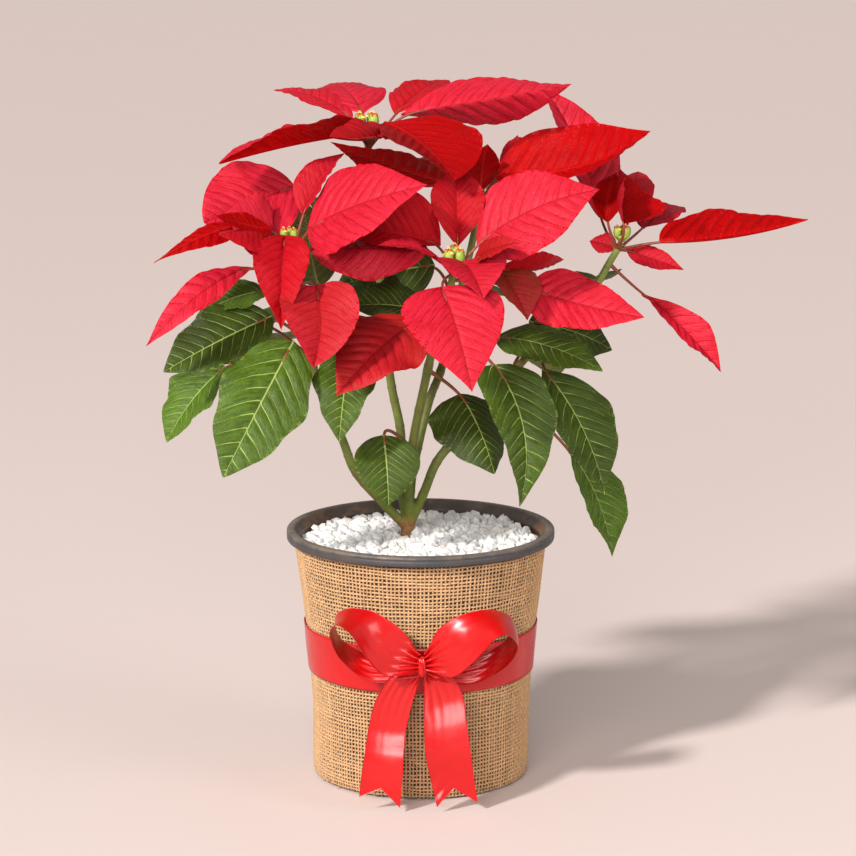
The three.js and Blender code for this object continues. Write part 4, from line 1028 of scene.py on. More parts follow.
def yarns(radius, turn, z, sideways, width, thick, closed, mark):
    """Many three-sided yarns at once. radius, turn, z and thick are yarns x samples; at each
    sample the section has one point outward and two points half a width to either side, a little
    inward. closed joins each yarn's ends."""
    outward = outwards(turn)
    path = outward * radius[..., None] + UP * z[..., None]
    height = YARN_HEIGHT * thick
    spread = sideways * (width / 2 * thick)[..., None]
    sink = outward * height[..., None] * 0.45
    ring = np.stack([path - sink + spread, path + outward * height[..., None],
                     path - sink - spread], axis=2)
    count, samples = ring.shape[:2]
    index = np.arange(count * samples * 3).reshape(count, samples, 3)
    faces = []
    if closed:
        index = np.concatenate([index, index[:, :1]], axis=1)
    else:
        faces = [(ONLY, index[:, 0, ::-1]), (ONLY, index[:, -1])]
    looped = np.concatenate([index, index[:, :, :1]], axis=2)
    corners = [looped[:, :-1, :-1], looped[:, :-1, 1:], looped[:, 1:, 1:], looped[:, 1:, :-1]]
    faces.append((ONLY, np.stack(corners, axis=-1).reshape(-1, 4)))
    values = np.repeat(mark[:, :, None], 3, axis=2)
    values[:, :, :, 2] += np.array((-0.5, 0.0, 0.5))
    return {"at": ring.reshape(-1, 3), "faces": faces, "marks": {"yarn": values.reshape(-1, 3)}}


def weave_radius(turn, z):
    """The burlap's middle radius: the wrap's, with shallow folds that fade where the band
    holds it."""
    held = bell(z - (BAND_LOW + BAND_HIGH) / 2, 22.0)
    folds = 0.5 * smooth_noise(turn * 18 / TURN, z / 46.0, 5) * (1 - held)
    return wrap_radius(z) - WRAP_THICKNESS / 2 - 0.1 + folds


def upright_yarns(look, warps, rows, pitch, random):
    """The upright yarns, with two samples for each crossing."""
    k = np.arange(warps)[:, None]
    row = np.linspace(-0.45, rows - 0.55, 2 * rows)[None, :]
    z = HEM + pitch * (row + 0.5) + 0.35 * smooth_noise(k * 0.31, row * 0.11, 8)
    z = np.maximum(z, 0.45 + 0.5 * (smooth_noise(k * 0.9, 0.5, 12) + 1))
    turn = TURN * (k + 0.5) / warps + 0.0048 * smooth_noise(k * 0.27, row * 0.13, 21)
    turn = turn + 0.004 * smooth_noise(k * 0.9, row * 0.05, 22)
    radius = weave_radius(turn, z) + look.yarn_sway / MM * np.cos(math.pi * (row + k))
    thick = 1 + 0.22 * smooth_noise(k * 1.7, row * 0.35, 31) + 0.12 * smooth_noise(k * 1.1, row, 32)
    tone = np.broadcast_to(random.uniform(0, 1, (warps, 1)), thick.shape)
    tone = 0.6 * tone + 0.4 * (0.5 + 0.5 * smooth_noise(k * 1.3, row * 0.2, 41))
    mark = np.stack([tone, np.broadcast_to(row, tone.shape), k + 0.0 * tone], axis=-1)
    sideways = -outwards(turn + TURN / 4)
    return yarns(radius, turn, z, sideways, look.yarn_width / MM, thick, False, mark)


def level_yarns(look, warps, rows, pitch, random):
    """The level yarns: closed rings, with two samples for each crossing."""
    j = np.arange(rows)[:, None]
    lane = np.arange(2 * warps)[None, :] / 2 - 0.5
    turn = TURN * (lane + 0.5) / warps + np.zeros_like(j, float)
    ring = (3 * np.cos(turn), 3 * np.sin(turn))
    z = HEM + pitch * (j + 0.5) + 0.45 * smooth_noise(ring[0] + j * 0.37, ring[1] + 7, 52)
    z = z + 0.22 * smooth_noise(5 * ring[0] + j, 5 * ring[1] + j * 0.7, 53)
    radius = weave_radius(turn, z) - look.yarn_sway / MM * np.cos(math.pi * (j + lane))
    thick = 1 + 0.2 * smooth_noise(6 * ring[0] + j * 1.9, 6 * ring[1], 61)
    patches = 0.5 + 0.5 * smooth_noise(4 * ring[0] + j * 1.3, 4 * ring[1], 71)
    tone = 0.6 * random.uniform(0, 1, (rows, 1)) + 0.4 * patches
    mark = np.stack([tone, lane + 0.0 * tone, j + 0.0 * tone], axis=-1)
    sideways = np.broadcast_to(UP, (*turn.shape, 3))
    return yarns(radius, turn, z, sideways, look.yarn_width / MM, thick, True, mark)


def make_burlap(look):
    """The burlap: upright yarns and level yarns that pass over and under each other, their
    distance from the axis following plus and minus cos(pi x crossing number)."""
    pitch = look.yarn_pitch / MM
    warps = 2 * round(TURN * WARP_RADIUS / pitch / 2)
    rows = round((WRAP_TOP - HEM) / pitch)
    random = np.random.default_rng(3)
    jute = ([burlap_finish(look)], "burlap", "burlap_wrap")
    warp = upright_yarns(look, warps, rows, pitch, random)
    weft = level_yarns(look, warps, rows, pitch, random)
    upright = add_piece("burlap_upright_yarns", [warp], *jute)
    level = add_piece("burlap_level_yarns", [weft], *jute)
    fringe = add_piece("burlap_fringe", fringe_parts(random), *jute)


def fringe_parts(random):
    """Loose fibres at the lower hem and under the rim: thin bent threads, each a curve from the
    hem outwards and down or sideways."""
    parts = []
    for number in range(FIBRES):
        turn = random.uniform(0, TURN)
        top = number % 6 == 0
        z = random.uniform(131, 133) if top else random.uniform(0.8, 3.5)
        out, side = outwards(turn), outwards(turn + TURN / 4)
        start = out * (wrap_radius(z) - 0.5) + UP * z
        reach = random.uniform(1.0, 3.4)
        lean = random.uniform(-2.5, 2.5)
        drop = random.uniform(-2.0, 0.5) if top else random.uniform(-0.6, 0.2)
        points = [start, start + out * reach * 0.5 + side * lean * 0.3,
                  start + out * reach * 0.8 + side * lean + UP * drop]
        path = course(points, np.linspace(0, 1, 7))
        path[:, 2] = np.maximum(path[:, 2], 0.3)
        mark = np.zeros((7, 3)) + (random.uniform(0, 1), 0, 0)
        parts.append(tube(path, np.linspace(0.26, 0.1, 7), 5, marks={"yarn": mark}))
    return parts


def band_radius(z):
    """Radius of the ribbon's inner side round the wrap: the wrap's plus a small gap."""
    return np.interp(z, (BAND_LOW, BAND_HIGH), BAND_RADII) + BAND_GAP


def make_band(look):
    """The ribbon round the pot: a ring of constant height whose radius has long shallow creases
    that run slantwise and gather towards the bow."""
    turn = (TURN * np.arange(360) / 360)[:, None]
    share = np.linspace(0, 1, 15)[None, :]
    z = BAND_LOW + (BAND_HIGH - BAND_LOW) * share
    z = z + 0.35 * smooth_noise(2 * np.cos(turn), 2 * np.sin(turn), 81)
    ring = (4 * np.cos(turn), 4 * np.sin(turn))
    creases = 0.22 * smooth_noise(2 * ring[0] + 2 * share, 2 * ring[1] - share, 82)
    front = bell(np.angle(np.exp(1j * (turn + TURN / 4))), 0.5)
    creases = creases + 0.3 * front * smooth_noise(9 * turn, 3.5 * share, 83)
    radius = band_radius(z) + 0.3 + np.maximum(creases, -0.1)
    middle = np.stack([radius * np.cos(turn), radius * np.sin(turn), z], axis=-1)
    band = slab(middle[::-1], look.ribbon_thickness / MM, closed=True)
    piece = add_piece("ribbon_band_satin", [band], [satin_finish(look)], "satin", "ribbon_band")


def ribbon_strip(edges, rows, notch, ends, seed):
    """The middle surface of a strip of ribbon: straight lines between two smooth edges, pleated
    by a wave across the strip that fades with the distance from the knot, bowed a little across,
    and crumpled by noise. A notch shortens the middle of its free end to a V."""
    far, near = edges
    u = np.linspace(0, 1, rows)[:, None]
    share = np.linspace(0, 1, 41)[None, :]
    length = run_length(course(np.add(far, near) / 2, np.linspace(0, 1, 40)))[-1]
    u = u * (1 - notch / length * (1 - np.abs(2 * share - 1)))
    plane = lerp(course(far, u), course(near, u), share[..., None])
    normal = unit(np.cross(np.gradient(plane, axis=1), np.gradient(plane, axis=0)))
    run = u * length
    far_run = length - run
    gather = np.exp(-run / PLEATS_FADE) + 0.5 * ends * np.exp(-far_run / PLEATS_FADE)
    wander = share + 0.05 * smooth_noise(run / 9.0, share * 2, seed)
    shift = 1.7 * gather * np.sin(TURN * PLEATS * wander)
    spread = np.exp(-run / CRUMPLES_FADE) + ends * np.exp(-far_run / CRUMPLES_FADE)
    shift = shift + (0.15 + 0.4 * ends) * spread * smooth_noise(run / 30.0, wander * 5, seed + 1)
    shift = shift + 0.5 * smooth_noise(run / 17.0, share * 1.6, seed + 2) * (1 - gather)
    shift = shift + 0.9 * (1 - (2 * share - 1) ** 2) * (1 - np.minimum(gather, 1))
    return plane + normal * shift[..., None], run, share


def crumple_corner(middle, run, share):
    """Pinches one lower corner of a tail: near it the ribbon comes forward and up in two short
    sharp creases."""
    near = bell(run - run.max(), 11.0) * bell(share - 0.12, 0.3)
    crease = np.abs(np.sin(run / 2.6 + share * 7.0)) - 0.5
    middle[..., 1] -= near * (2.2 + 1.3 * crease)
    middle[..., 2] += near * 1.6
    return middle


def make_bow(look):
    """The bow: two loops and two swallow-tailed ends of one ribbon, and the pleated knot."""
    satin = ([satin_finish(look)], "satin", "ribbon_bow")
    knot = add_piece("bow_knot", knot_parts(), *satin)
    for name, edges, rows, notch, ends, seed in STRIPS:
        middle, run, share = ribbon_strip(edges, rows, notch, ends, seed)
        if name == "bow_right_tail":
            middle = crumple_corner(middle, run, share)
        piece = add_piece(name, [slab(middle, look.ribbon_thickness / MM)], *satin)


def knot_parts():
    """The knot: an upright ellipsoid whose radius ripples with the angle, so that it is gathered
    in pleats, and the twist of ribbon that ties it to the band."""
    rise = np.linspace(-1, 1, 25)
    profile = [(0, -1), *zip(np.sqrt(1 - rise[1:-1] ** 2), rise[1:-1]), (0, 1)]
    knot = lathe(profile, 48)
    at = knot["at"]
    turn = np.arctan2(at[:, 1], at[:, 0])
    pleat = 1 + 0.09 * np.sin(7 * turn + 2.5 * at[:, 2]) + 0.05 * np.sin(13 * turn - 4 * at[:, 2])
    waist = 1 - 0.16 * bell(at[:, 2], 0.5)
    at[:, 0] *= 2.6 * pleat * waist
    at[:, 1] *= 3.7 * pleat * waist
    at[:, 2] *= 6.0
    knot["at"] = at + KNOT
    x, y, z = KNOT
    back = -float(band_radius(z)) - 0.6
    tie = tube([(x, y, z + 1), (x, (y + back) / 2, z + 1.5), (x, back, z + 1)], 2.6, 20)
    return [knot, tie]


# ---- Stems and stalks --------------------------------------------------------------------------


def stem_tube(points, start, end, nodes=(), blush=0.0):
    """A stem between two shares of its course: its radius shrinks evenly from foot to top, swells
    at each place where a stalk leaves, and has narrow rings where old leaves fell."""
    length = run_length(course(points, np.linspace(0, 1, 60)))[-1]
    u = np.linspace(start, end, max(8, int((end - start) * length / 1.2)))
    run = u * length
    radius = lerp(STEM_RADIUS, STEM_TOP_RADIUS, u)
    for place in nodes:
        radius = radius + 0.35 * bell(run - place * length, 3.0)
    scars = np.zeros_like(run)
    for place in np.arange(9.0, length * 0.8, 15.0):
        scars = scars + bell(run - place - 4 * math.sin(place), 0.8)
    radius = radius * (1 + 0.10 * scars)
    reddish = np.clip(blush + 0.35 * smooth_noise(run / 22.0, 0.5, int(length * 10) % 97), 0, 1)
    marks = np.stack([reddish, np.clip(scars, 0, 1) * 0.7, 0 * run], axis=-1)
    return tube(course(points, u), radius, 16, SKIN, {"stem": marks})


def blade_axes(shape):
    """A blade's own directions: out of its upper face, and to its right."""
    along = unit(np.subtract(shape["tip"], shape["base"]).astype(float))
    level = unit(UP - along * along[2])
    side = np.cross(along, level)
    roll = math.radians(shape["roll"])
    out = level * math.cos(roll) + side * math.sin(roll)
    return out, np.cross(along, out)


def blade_surface(shape, t, s):
    """The blade's middle surface, t from base to tip and s from the left edge to the right.
    Half width: (t / wide)^rise ((1 - t) / (1 - wide))^point times a cosine of lobes. Each half
    rises from the midrib by the fold's angle, curls by cup s^2 and ripples by a sine of t that
    grows towards the edge. The midrib bows by 4 t (1 - t). Also gives the half width."""
    base, tip = (np.asarray(shape[k], float) for k in ("base", "tip"))
    out, right = blade_axes(shape)
    length, width, wide = np.linalg.norm(tip - base), shape["width"], shape["wide"]
    rise = shape["point"] * (wide / (1 - wide))
    swell = (t / wide) ** rise * ((1 - t) / (1 - wide)) ** shape["point"]
    teeth = 1 + shape["lobe"] * np.cos(TURN * 3 * (t - 0.1)) * np.minimum(1, 6 * t * (1 - t))
    half = width / 2 * swell * teeth
    bow = 4 * t * (1 - t) * length
    fold, turn = math.radians(shape["fold"]), math.radians(shape["twist"]) * (t - 0.5)
    ripple = shape["wave"] * np.abs(s) ** 1.5 * np.sin(TURN * RIPPLES * t + 1.6 * np.sign(s))
    reach = s * half * math.cos(fold)
    lift = np.abs(s) * half * math.sin(fold) + (shape["cup"] * width * s * s + ripple) * swell
    up = shape["arch"] * bow + lift * np.cos(turn) - reach * np.sin(turn)
    over = shape["sweep"] * bow + reach * np.cos(turn) + lift * np.sin(turn)
    place = lerp(base, tip, t[..., None]) + out * up[..., None] + right * over[..., None]
    return place, half


def vein_phase(shape, look, seed, x, y):
    """The side veins' spacing, and their phase (y - 0.6 |x| - 0.7 x^2 / W) / spacing for y along
    the midrib and x away from it, a little bent, and out of step on the two sides of the midrib."""
    length = np.linalg.norm(np.subtract(shape["tip"], shape["base"]))
    spacing = np.clip(length * look.vein_spacing, 2.6, 8.6)
    bent = 0.12 * smooth_noise(y / 16.0, x / 12.0 + 9, seed)
    phase = (y - 0.6 * np.abs(x) - 0.7 * x * x / shape["width"]) / spacing
    return spacing, phase + bent + 0.31 * (seed % 7) + 0.14 * np.sign(x)


def blade_relief(look, seed, phase, spacing, t, s, x, swell):
    """How far both faces move outwards, and how far the veins stand out below. Between side veins
    the faces bulge by |sin(pi phase)|^0.6; noise roughens them, the margin ripples by a sine of
    t, and the midrib is sunk."""
    from_rib = np.clip(np.abs(s) / 0.16, 0, 1)
    edge = 1 - 0.55 * np.abs(s) ** 4
    quilt = np.abs(np.sin(math.pi * phase)) ** 0.6 - 0.6
    shift = look.quilting / MM * spacing / 8 * quilt * from_rib * edge * np.sqrt(swell)
    shift = shift + 0.26 * smooth_noise(phase * 2.6, x / 6.0, seed + 1) * edge * from_rib
    shift = shift + 0.35 * np.abs(s) ** 3 * swell * np.sin(TURN * 7.3 * t + seed + 2 * np.sign(s))
    shift = shift - SINK_OF_RIB * bell(x, 1.1) * (1 - 0.6 * t)
    ridge = 0.75 * (1 - 0.75 * t) * bell(x, 0.9 - 0.4 * t)
    veins = 0.16 * bell((phase - np.round(phase)) * spacing, 0.7) * from_rib
    return shift, ridge + veins


def blade_part(shape, look, seed):
    """A blade as a thin closed skin: the middle surface moved outwards by the relief, with a face
    half the thickness above it and one below it, which meet at the margin."""
    length = float(np.linalg.norm(np.subtract(shape["tip"], shape["base"])))
    width = shape["width"]
    rows = max(18, int(length / look.mesh_step / 1000))
    columns = 2 * max(6, int(width / look.mesh_step / 2350))
    t = np.linspace(0, 1, rows + 2)[:, None]
    v = np.linspace(-1, 1, columns + 1)[None, :]
    s = v * (0.72 + 0.28 * v * v)
    middle, half = blade_surface(shape, t, s)
    normal = unit(np.cross(np.gradient(middle, axis=1)[1:-1], np.gradient(middle, axis=0)[1:-1]))
    middle, t, half = middle[1:-1], t[1:-1], half[1:-1]
    x = s * half
    spacing, phase = vein_phase(shape, look, seed, x, t * length)
    swell = np.clip(half / (width / 2), 0, 1)
    shift, veins = blade_relief(look, seed, phase, spacing, t, s, x, swell)
    taper = 1 - np.abs(s) ** 6
    skin = look.blade_thickness / MM / 2 * taper
    upper = middle + normal * (shift + skin)[..., None]
    lower = middle + normal * (shift - skin - veins * taper)[..., None]
    upper[:, [0, -1]] = lower[:, [0, -1]] = (middle + normal * shift[..., None])[:, [0, -1]]

    count = rows * (columns + 1)
    top = np.arange(count).reshape(rows, columns + 1)
    under = top.copy()
    under[:, 1:-1] = count + np.arange(rows * (columns - 1)).reshape(rows, columns - 1)
    base = count + rows * (columns - 1)
    tip = base + 1
    ends = np.array((shape["base"], shape["tip"]), float)
    at = np.vstack([upper.reshape(-1, 3), lower[:, 1:-1].reshape(-1, 3), ends])
    skins = [(FACE, quads(top)), (FACE, fan(top[0][::-1], base)), (FACE, fan(top[-1], tip)),
             (BACK, quads(under)[:, ::-1]), (BACK, fan(under[0], base)),
             (BACK, fan(under[-1][::-1], tip))]
    # A given tone is painted light and shade for this blade; otherwise the tone is random.
    tone = shape.get("tone", float(np.random.default_rng(seed).uniform()))

    def spread(*values):
        grid = np.stack(np.broadcast_arrays(*values), axis=-1)
        poles = grid[[0, -1], [columns // 2] * 2]
        return np.vstack([grid.reshape(-1, 3), grid[:, 1:-1].reshape(-1, 3), poles])

    marks = {"veins": spread(phase, x, tone), "reach": spread(t, np.abs(s), shape["turned"])}
    return {"at": at, "faces": skins, "marks": marks}


def stalk_part(shape, stem, blush):
    """A leaf stalk: a quadratic curve from the middle of the stem to the start of the midrib,
    which it meets in the midrib's own direction, thickest where it leaves the stem."""
    start = course(stem, np.array([shape["at"]]))[0]
    probe = blade_surface(shape, np.array([[0.02], [0.1], [0.16]]), np.array([[0.0]]))[0][:, 0]
    end, heading = probe[1], unit(probe[1] - probe[0])
    knee = end - 0.4 * np.linalg.norm(end - start) * heading
    u = np.linspace(0, 1, 16)[:, None]
    path = (1 - u) ** 2 * start + 2 * u * (1 - u) * knee + u * u * end
    path = np.vstack([path, [probe[2]]]) - blade_axes(shape)[0] * 0.35
    u = np.linspace(0, 1, 17)
    radius = shape["stalk"] * (1 - 0.35 * u) * (1 + 0.35 * bell(u, 0.12)) * 0.92
    radius[-1] *= 0.6
    marks = np.stack([np.full(17, blush), 0 * u, 0 * u], axis=-1)
    return tube(path, radius, 9, SKIN, {"stem": marks})


# ---- Flowers -----------------------------------------------------------------------------------


def flower_cup(centre, size, turn):
    """One flower: a bellied green cup with a five-toothed red lip, a yellow gland on its side and
    a tuft of short red stamens with yellow tips."""
    body = [(0, -1.2), (1.2, -0.7), (2.0, 0.6), (2.35, 2.2), (2.25, 3.6), (1.8, 4.8), (1.55, 5.5),
            (1.3, 5.6), (1.15, 5.1), (0, 4.7)]
    parts = [lathe(body, 20, CUP, wobble=0.05, seed=int(turn * 40))]
    for out in outwards(turn + TURN * np.arange(LIP_TEETH) / LIP_TEETH):
        root = out * 1.5 + UP * 5.2
        path = [root - UP * 0.5, root + out * 0.1 + UP * 0.4, root - out * 0.5 + UP * 1.0]
        parts.append(tube(path, (0.62, 0.55, 0.2), 7, LIP, squash=0.5))
    a = turn + 0.4
    gland = lathe([(0, -1), (0.6, -0.8), (1, 0), (0.6, 0.8), (0.3, 0.95), (0, 0.55)], 14, GLAND)
    at = gland["at"] * (1.25, 0.85, 0.9)
    spin = np.array([[math.cos(a), -math.sin(a), 0], [math.sin(a), math.cos(a), 0], [0, 0, 1]])
    tilt = np.array([[1, 0, 0], [0, 0.5, -0.87], [0, 0.87, 0.5]])
    gland["at"] = (at @ tilt.T + (0, -2.0, 4.3)) @ spin.T
    parts.append(gland)
    for number in range(STAMENS):
        out = outwards(turn + 2.4 * number)
        foot = out * 0.3 + UP * 4.7
        head = out * (0.25 + 0.09 * number) + UP * (6.4 + 0.35 * math.cos(2.1 * number))
        tip = [head - UP * 0.1, head + UP * 0.25, head + UP * 0.5]
        parts.append(tube([foot, (foot + head) / 2, head], (0.16, 0.14, 0.14), 5, LIP))
        parts.append(tube(tip, (0.2, 0.33, 0.12), 6, GLAND))
    for part in parts:
        part["at"] = part["at"] * size + centre
    return parts


def make_flowers(key):
    """The cluster of flowers at one stem's top, on a small green pad."""
    stem, cups = PLANT[key]["stem"], PLANT[key]["cups"]
    points = course(stem, np.array([0.99, 1.0]))
    tilt = math.acos(unit(points[1] - points[0])[2])
    crown = points[1] + UP * (STEM_TOP_RADIUS * math.sin(tilt) + 0.3)
    pad = [(0, -0.6), (1.7, -0.4), (2.2, 0.4), (3.4, 1.6), (4.2, 2.5), (3.9, 3.1), (2.6, 3.5),
           (0, 3.6)]
    parts = [lathe(pad, 24, CUP, crown, wobble=0.12, seed=3)]
    for number, (*place, size) in enumerate(cups):
        parts += flower_cup(crown + place, size, 1.3 * number + 0.5)
    names = ("cup_green", "lip_red", "gland_yellow")
    finishes = [plain_finish(name, *PLAIN[name]) for name in names]
    add_piece(f"flower_cluster_{key}", parts, finishes, "flower_green", f"flowers_{key}")


# ---- The plant's pieces ------------------------------------------------------------------------


def make_foot():
    """The woody foot: the root neck and the five stubs melted into one by a voxel remesh, then
    smoothed, so that they fork without seams."""
    heights = (ROOT_BOTTOM, 120, 132, FORK[2] + 1)
    radii = TRUNK_RADIUS * np.array((1, 1, 1, 0.8))
    neck = tube([(*TRUNK, z) for z in heights], radii, 24)
    stubs = [stem_tube(plant["stem"], 0, STUB_END) for plant in PLANT.values()]
    piece = add_piece("woody_foot", [neck, *stubs], [bark_finish()], "bark", "woody_base")
    melt = piece.modifiers.new("melt", "REMESH")
    melt.mode, melt.voxel_size, melt.use_smooth_shade = "VOXEL", 0.5 * MM, True
    ease = piece.modifiers.new("ease", "SMOOTH")
    ease.factor, ease.iterations = 0.6, 5
    bake_modifiers(piece)


def blades_and_stalks(key, shapes, look, first_seed, blush):
    """The blades that one stem carries, each with its stalk."""
    parts = []
    for number, shape in enumerate(shapes):
        seed = 1000 * (1 + list(PLANT).index(key)) + first_seed + 17 * number
        parts += [blade_part(shape, look, seed), stalk_part(shape, PLANT[key]["stem"], blush)]
    return parts


def make_greens(key, look):
    """One stem's green part: the stem, its leaves and their stalks."""
    plant = PLANT[key]
    nodes = [shape["at"] for shape in plant["leaves"]]
    parts = [stem_tube(plant["stem"], STUB_END, plant["red_from"], nodes),
             *blades_and_stalks(key, plant["leaves"], look, 0, 0.85)]
    add_piece(f"green_stem_{key}", parts, leaf_finishes(look), "leaf_green", f"leafy_stem_{key}")


def make_reds(key, look):
    """One stem's head: its top, the bracts and their stalks."""
    plant = PLANT[key]
    parts = [stem_tube(plant["stem"], plant["red_from"], 1, blush=0.1),
             *blades_and_stalks(key, plant["bracts"], look, 500, 0.95)]
    add_piece(f"red_head_{key}", parts, bract_finishes(look), "bract_red", f"bracts_{key}")


# ---- Settings ----------------------------------------------------------------------------------


def colour(name, description, default):
    """A colour setting."""
    return FloatVectorProperty(name=name, description=description, default=default,
                               subtype="COLOR", size=4, min=0.0, max=1.0)


def length(name, description, default):
    """A length setting, in metres."""
    return FloatProperty(name=name, description=description, default=default, min=0.00005,
                         unit="LENGTH", precision=5)


class PlantLook(bpy.types.PropertyGroup):
    """Colours and relief of the leaves and bracts"""

    bract_colour: colour("Bract", "Colour of the red bracts", (0.56, 0.015, 0.041, 1.0))
    leaf_colour: colour("Leaf", "Colour of the leaves' upper faces", (0.087, 0.170, 0.009, 1.0))
    blade_thickness: length("Thickness", "Thickness of leaves and bracts", 0.00035)
    quilting: length("Quilting", "How far a blade bulges between its side veins", 0.0016)
    mesh_step: length("Mesh step", "Spacing of a blade's points along its midrib", 0.0013)
    vein_spacing: FloatProperty(
        name="Vein spacing", description="Distance between side veins, as a share of the length",
        default=0.098, min=0.02, max=0.3)


class PotLook(bpy.types.PropertyGroup):
    """Finish and fineness of the pot and the gravel"""

    pot_colour: colour("Pot", "Colour of the pot's plastic", (0.035, 0.036, 0.040, 1.0))
    gravel_colour: colour("Gravel", "Colour of the marble chips", (0.74, 0.735, 0.725, 1.0))
    pot_sides: IntProperty(name="Sides", description="Facets round the pot", default=160, min=24)


class WrapLook(bpy.types.PropertyGroup):
    """Yarns of the burlap and satin of the ribbon"""

    yarn_colour: colour("Yarn", "Colour of the jute", (0.68, 0.415, 0.21, 1.0))
    yarn_pitch: length("Yarn pitch", "Distance between neighbouring yarns", 0.0021)
    yarn_width: length("Yarn width", "Width of a yarn", 0.00133)
    yarn_sway: length("Yarn sway", "How far a yarn passes over and under the next", 0.00026)
    satin_colour: colour("Ribbon", "Colour of the satin ribbon", (0.52, 0.002, 0.003, 1.0))
    ribbon_thickness: length("Ribbon thickness", "Thickness of the ribbon", 0.0003)


class StageLook(bpy.types.PropertyGroup):
    """Floor, lights and camera"""

    floor_colour: colour("Floor", "Colour of the floor", (0.68, 0.57, 0.535, 1.0))
    key_strength: FloatProperty(name="Key light", description="Strength of the main light",
                                default=3.6, min=0.0)
    box_power: FloatProperty(name="Soft box", description="Power of the soft front light",
                             default=32.0, min=0.0, unit="POWER")
    fill_power: FloatProperty(name="Side fill", description="Power of the soft light on the right",
                              default=14.0, min=0.0, unit="POWER")
    sky: FloatProperty(name="Surroundings", description="Brightness of the pale surroundings",
                       default=0.38, min=0.0)
    lens: FloatProperty(name="Lens", description="Focal length on a 36 mm sensor",
                        default=139.6, min=10.0, unit="CAMERA")


# ---- Stage -------------------------------------------------------------------------------------

CAMERA_PLACE = (0.0041, -1.800, 0.5542)
CAMERA_PITCH = math.radians(11.26)
AIM = (0.0, 0.0, 0.22)
FLOOR_HALF = 30.0
KEY_PLACE = (-1.25, -1.35, 1.5)
KEY_ANGLE = math.radians(6.0)
BOX_PLACE = (-0.4, -2.2, 0.97)
BOX_SIZE = (1.3, 0.42)
FILL_PLACE = (1.8, -1.2, 0.9)
FILL_SIZE = 0.9
WARM_LIGHT, PALE_LIGHT = (1.0, 0.97, 0.94), (1.0, 0.98, 0.97)
SKY_COLOUR = (1.0, 0.97, 0.95, 1.0)


def add_light(name, kind, place, power, shade):
    """A light that faces the plant."""
    data = bpy.data.lights.new(name, kind)
    data.energy, data.color = power, shade
    light = bpy.data.objects.new(name, data)
    light.location = place
    toward = np.subtract(AIM, place)
    yaw = math.atan2(toward[1], toward[0]) - math.pi / 2
    light.rotation_euler = (math.acos(-unit(toward)[2]), 0, yaw)
    bpy.context.scene.collection.objects.link(light)
    return data


def make_stage(look):
    """The floor, the pale surroundings, the lights and the camera."""
    scene = bpy.context.scene
    half = FLOOR_HALF
    floor = bpy.data.meshes.new("floor")
    floor.from_pydata([(-half, -half, 0), (half, -half, 0), (half, half, 0), (-half, half, 0)], [],
                      [(0, 1, 2, 3)])
    ground = bpy.data.objects.new("floor", floor)
    scene.collection.objects.link(ground)
    pale = look.floor_colour[:]
    floor.materials.append(plain_finish("floor_pale", pale, tint(pale, 0.98), 2.0, (0.8, 0.9),
                                        60.0, 0.05))

    world = bpy.data.worlds.new("surroundings")
    world.use_nodes = True
    background = world.node_tree.nodes["Background"]
    background.inputs["Color"].default_value = SKY_COLOUR
    background.inputs["Strength"].default_value = look.sky
    scene.world = world
    scene.view_settings.view_transform = "Standard"

    key = add_light("key", "SUN", KEY_PLACE, look.key_strength, WARM_LIGHT)
    key.angle = KEY_ANGLE
    box = add_light("front_box", "AREA", BOX_PLACE, look.box_power, PALE_LIGHT)
    box.shape = "RECTANGLE"
    box.size, box.size_y = BOX_SIZE
    fill = add_light("side_fill", "AREA", FILL_PLACE, look.fill_power, WARM_LIGHT)
    fill.size = FILL_SIZE

    data = bpy.data.cameras.new("camera")
    data.sensor_width, data.lens = 36.0, look.lens
    data.clip_start, data.clip_end = 0.05, 200.0
    camera = bpy.data.objects.new("camera", data)
    camera.location = CAMERA_PLACE
    camera.rotation_euler = (math.pi / 2 - CAMERA_PITCH, 0, 0)
    scene.collection.objects.link(camera)
    scene.camera = camera


# ---- Operators and panel -----------------------------------------------------------------------


class BuildPot(bpy.types.Operator):
    """Build the nursery pot and give the soil its finish"""

    bl_idname = "poinsettia.pot"
    bl_label = "Pot and soil"

    def execute(self, context):
        make_pot(context.scene.poinsettia_pot)
        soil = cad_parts["soil"].data.materials
        soil.clear()
        soil.append(plain_finish("soil_dark", *PLAIN["soil_dark"]))
        return {"FINISHED"}


class BuildGravel(bpy.types.Operator):
    """Strew the white marble chips over the soil"""

    bl_idname = "poinsettia.gravel"
    bl_label = "Gravel"

    def execute(self, context):
        make_gravel(context.scene.poinsettia_pot)
        return {"FINISHED"}


class BuildBurlap(bpy.types.Operator):
    """Weave the burlap round the pot, yarn by yarn"""

    bl_idname = "poinsettia.burlap"
    bl_label = "Burlap"

    def execute(self, context):
        make_burlap(context.scene.poinsettia_wrap)
        return {"FINISHED"}


class BuildRibbon(bpy.types.Operator):
    """Tie the satin band and its bow round the burlap"""

    bl_idname = "poinsettia.ribbon"
    bl_label = "Ribbon and bow"

    def execute(self, context):
        make_band(context.scene.poinsettia_wrap)
        make_bow(context.scene.poinsettia_wrap)
        return {"FINISHED"}


class BuildFoot(bpy.types.Operator):
    """Build the woody foot where the stems fork"""

    bl_idname = "poinsettia.foot"
    bl_label = "Woody foot"

    def execute(self, context):
        make_foot()
        return {"FINISHED"}


class BuildGreens(bpy.types.Operator):
    """Build the green stems with their leaves"""

    bl_idname = "poinsettia.greens"
    bl_label = "Stems and leaves"

    def execute(self, context):
        for key in PLANT:
            make_greens(key, context.scene.poinsettia_plant)
        return {"FINISHED"}


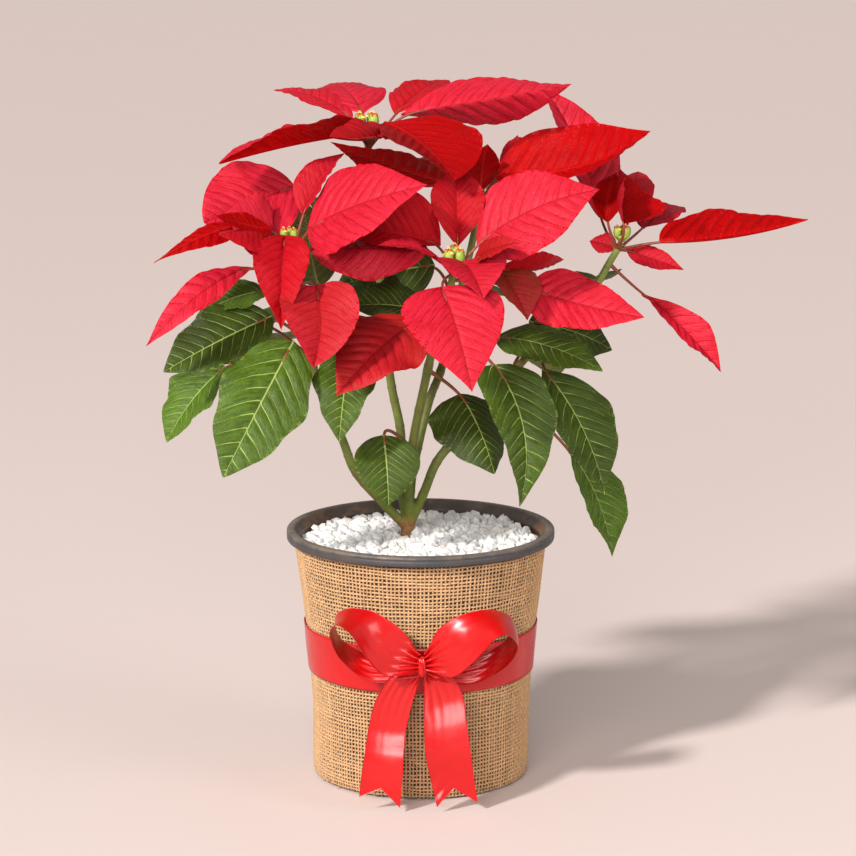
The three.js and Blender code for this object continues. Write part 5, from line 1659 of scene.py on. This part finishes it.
class BuildReds(bpy.types.Operator):
    """Build the heads of red bracts"""

    bl_idname = "poinsettia.reds"
    bl_label = "Bracts"

    def execute(self, context):
        for key in PLANT:
            make_reds(key, context.scene.poinsettia_plant)
        return {"FINISHED"}


class BuildFlowers(bpy.types.Operator):
    """Build the clusters of small yellow-green flowers"""

    bl_idname = "poinsettia.flowers"
    bl_label = "Flowers"

    def execute(self, context):
        for key in PLANT:
            make_flowers(key)
        return {"FINISHED"}


class BuildStage(bpy.types.Operator):
    """Set the floor, the lights and the camera"""

    bl_idname = "poinsettia.stage"
    bl_label = "Stage"

    def execute(self, context):
        make_stage(context.scene.poinsettia_stage)
        return {"FINISHED"}


OPERATORS = (BuildPot, BuildGravel, BuildBurlap, BuildRibbon, BuildFoot, BuildGreens, BuildReds,
             BuildFlowers, BuildStage)
LOOKS = {"poinsettia_pot": PotLook, "poinsettia_wrap": WrapLook, "poinsettia_plant": PlantLook,
         "poinsettia_stage": StageLook}


class PoinsettiaPanel(bpy.types.Panel):
    """Lists the settings and the build steps in the sidebar"""

    bl_idname = "VIEW3D_PT_poinsettia"
    bl_label = "Potted poinsettia"
    bl_space_type = "VIEW_3D"
    bl_region_type = "UI"
    bl_category = "Poinsettia"

    def draw(self, context):
        for key, look in LOOKS.items():
            for setting in look.__annotations__:
                self.layout.prop(getattr(context.scene, key), setting)
        for step in OPERATORS:
            self.layout.operator(step.bl_idname)


def register():
    """Registers the settings, the operators and the panel."""
    for kind in (*LOOKS.values(), *OPERATORS, PoinsettiaPanel):
        bpy.utils.register_class(kind)
    for key, look in LOOKS.items():
        setattr(bpy.types.Scene, key, PointerProperty(type=look))


def unregister():
    """Takes them out again."""
    for key in LOOKS:
        delattr(bpy.types.Scene, key)
    for kind in (PoinsettiaPanel, *OPERATORS, *LOOKS.values()):
        bpy.utils.unregister_class(kind)


def main():
    register()
    for step in OPERATORS:
        area, job = step.bl_idname.split(".")
        getattr(getattr(bpy.ops, area), job)()


if __name__ == "__main__":
    main()
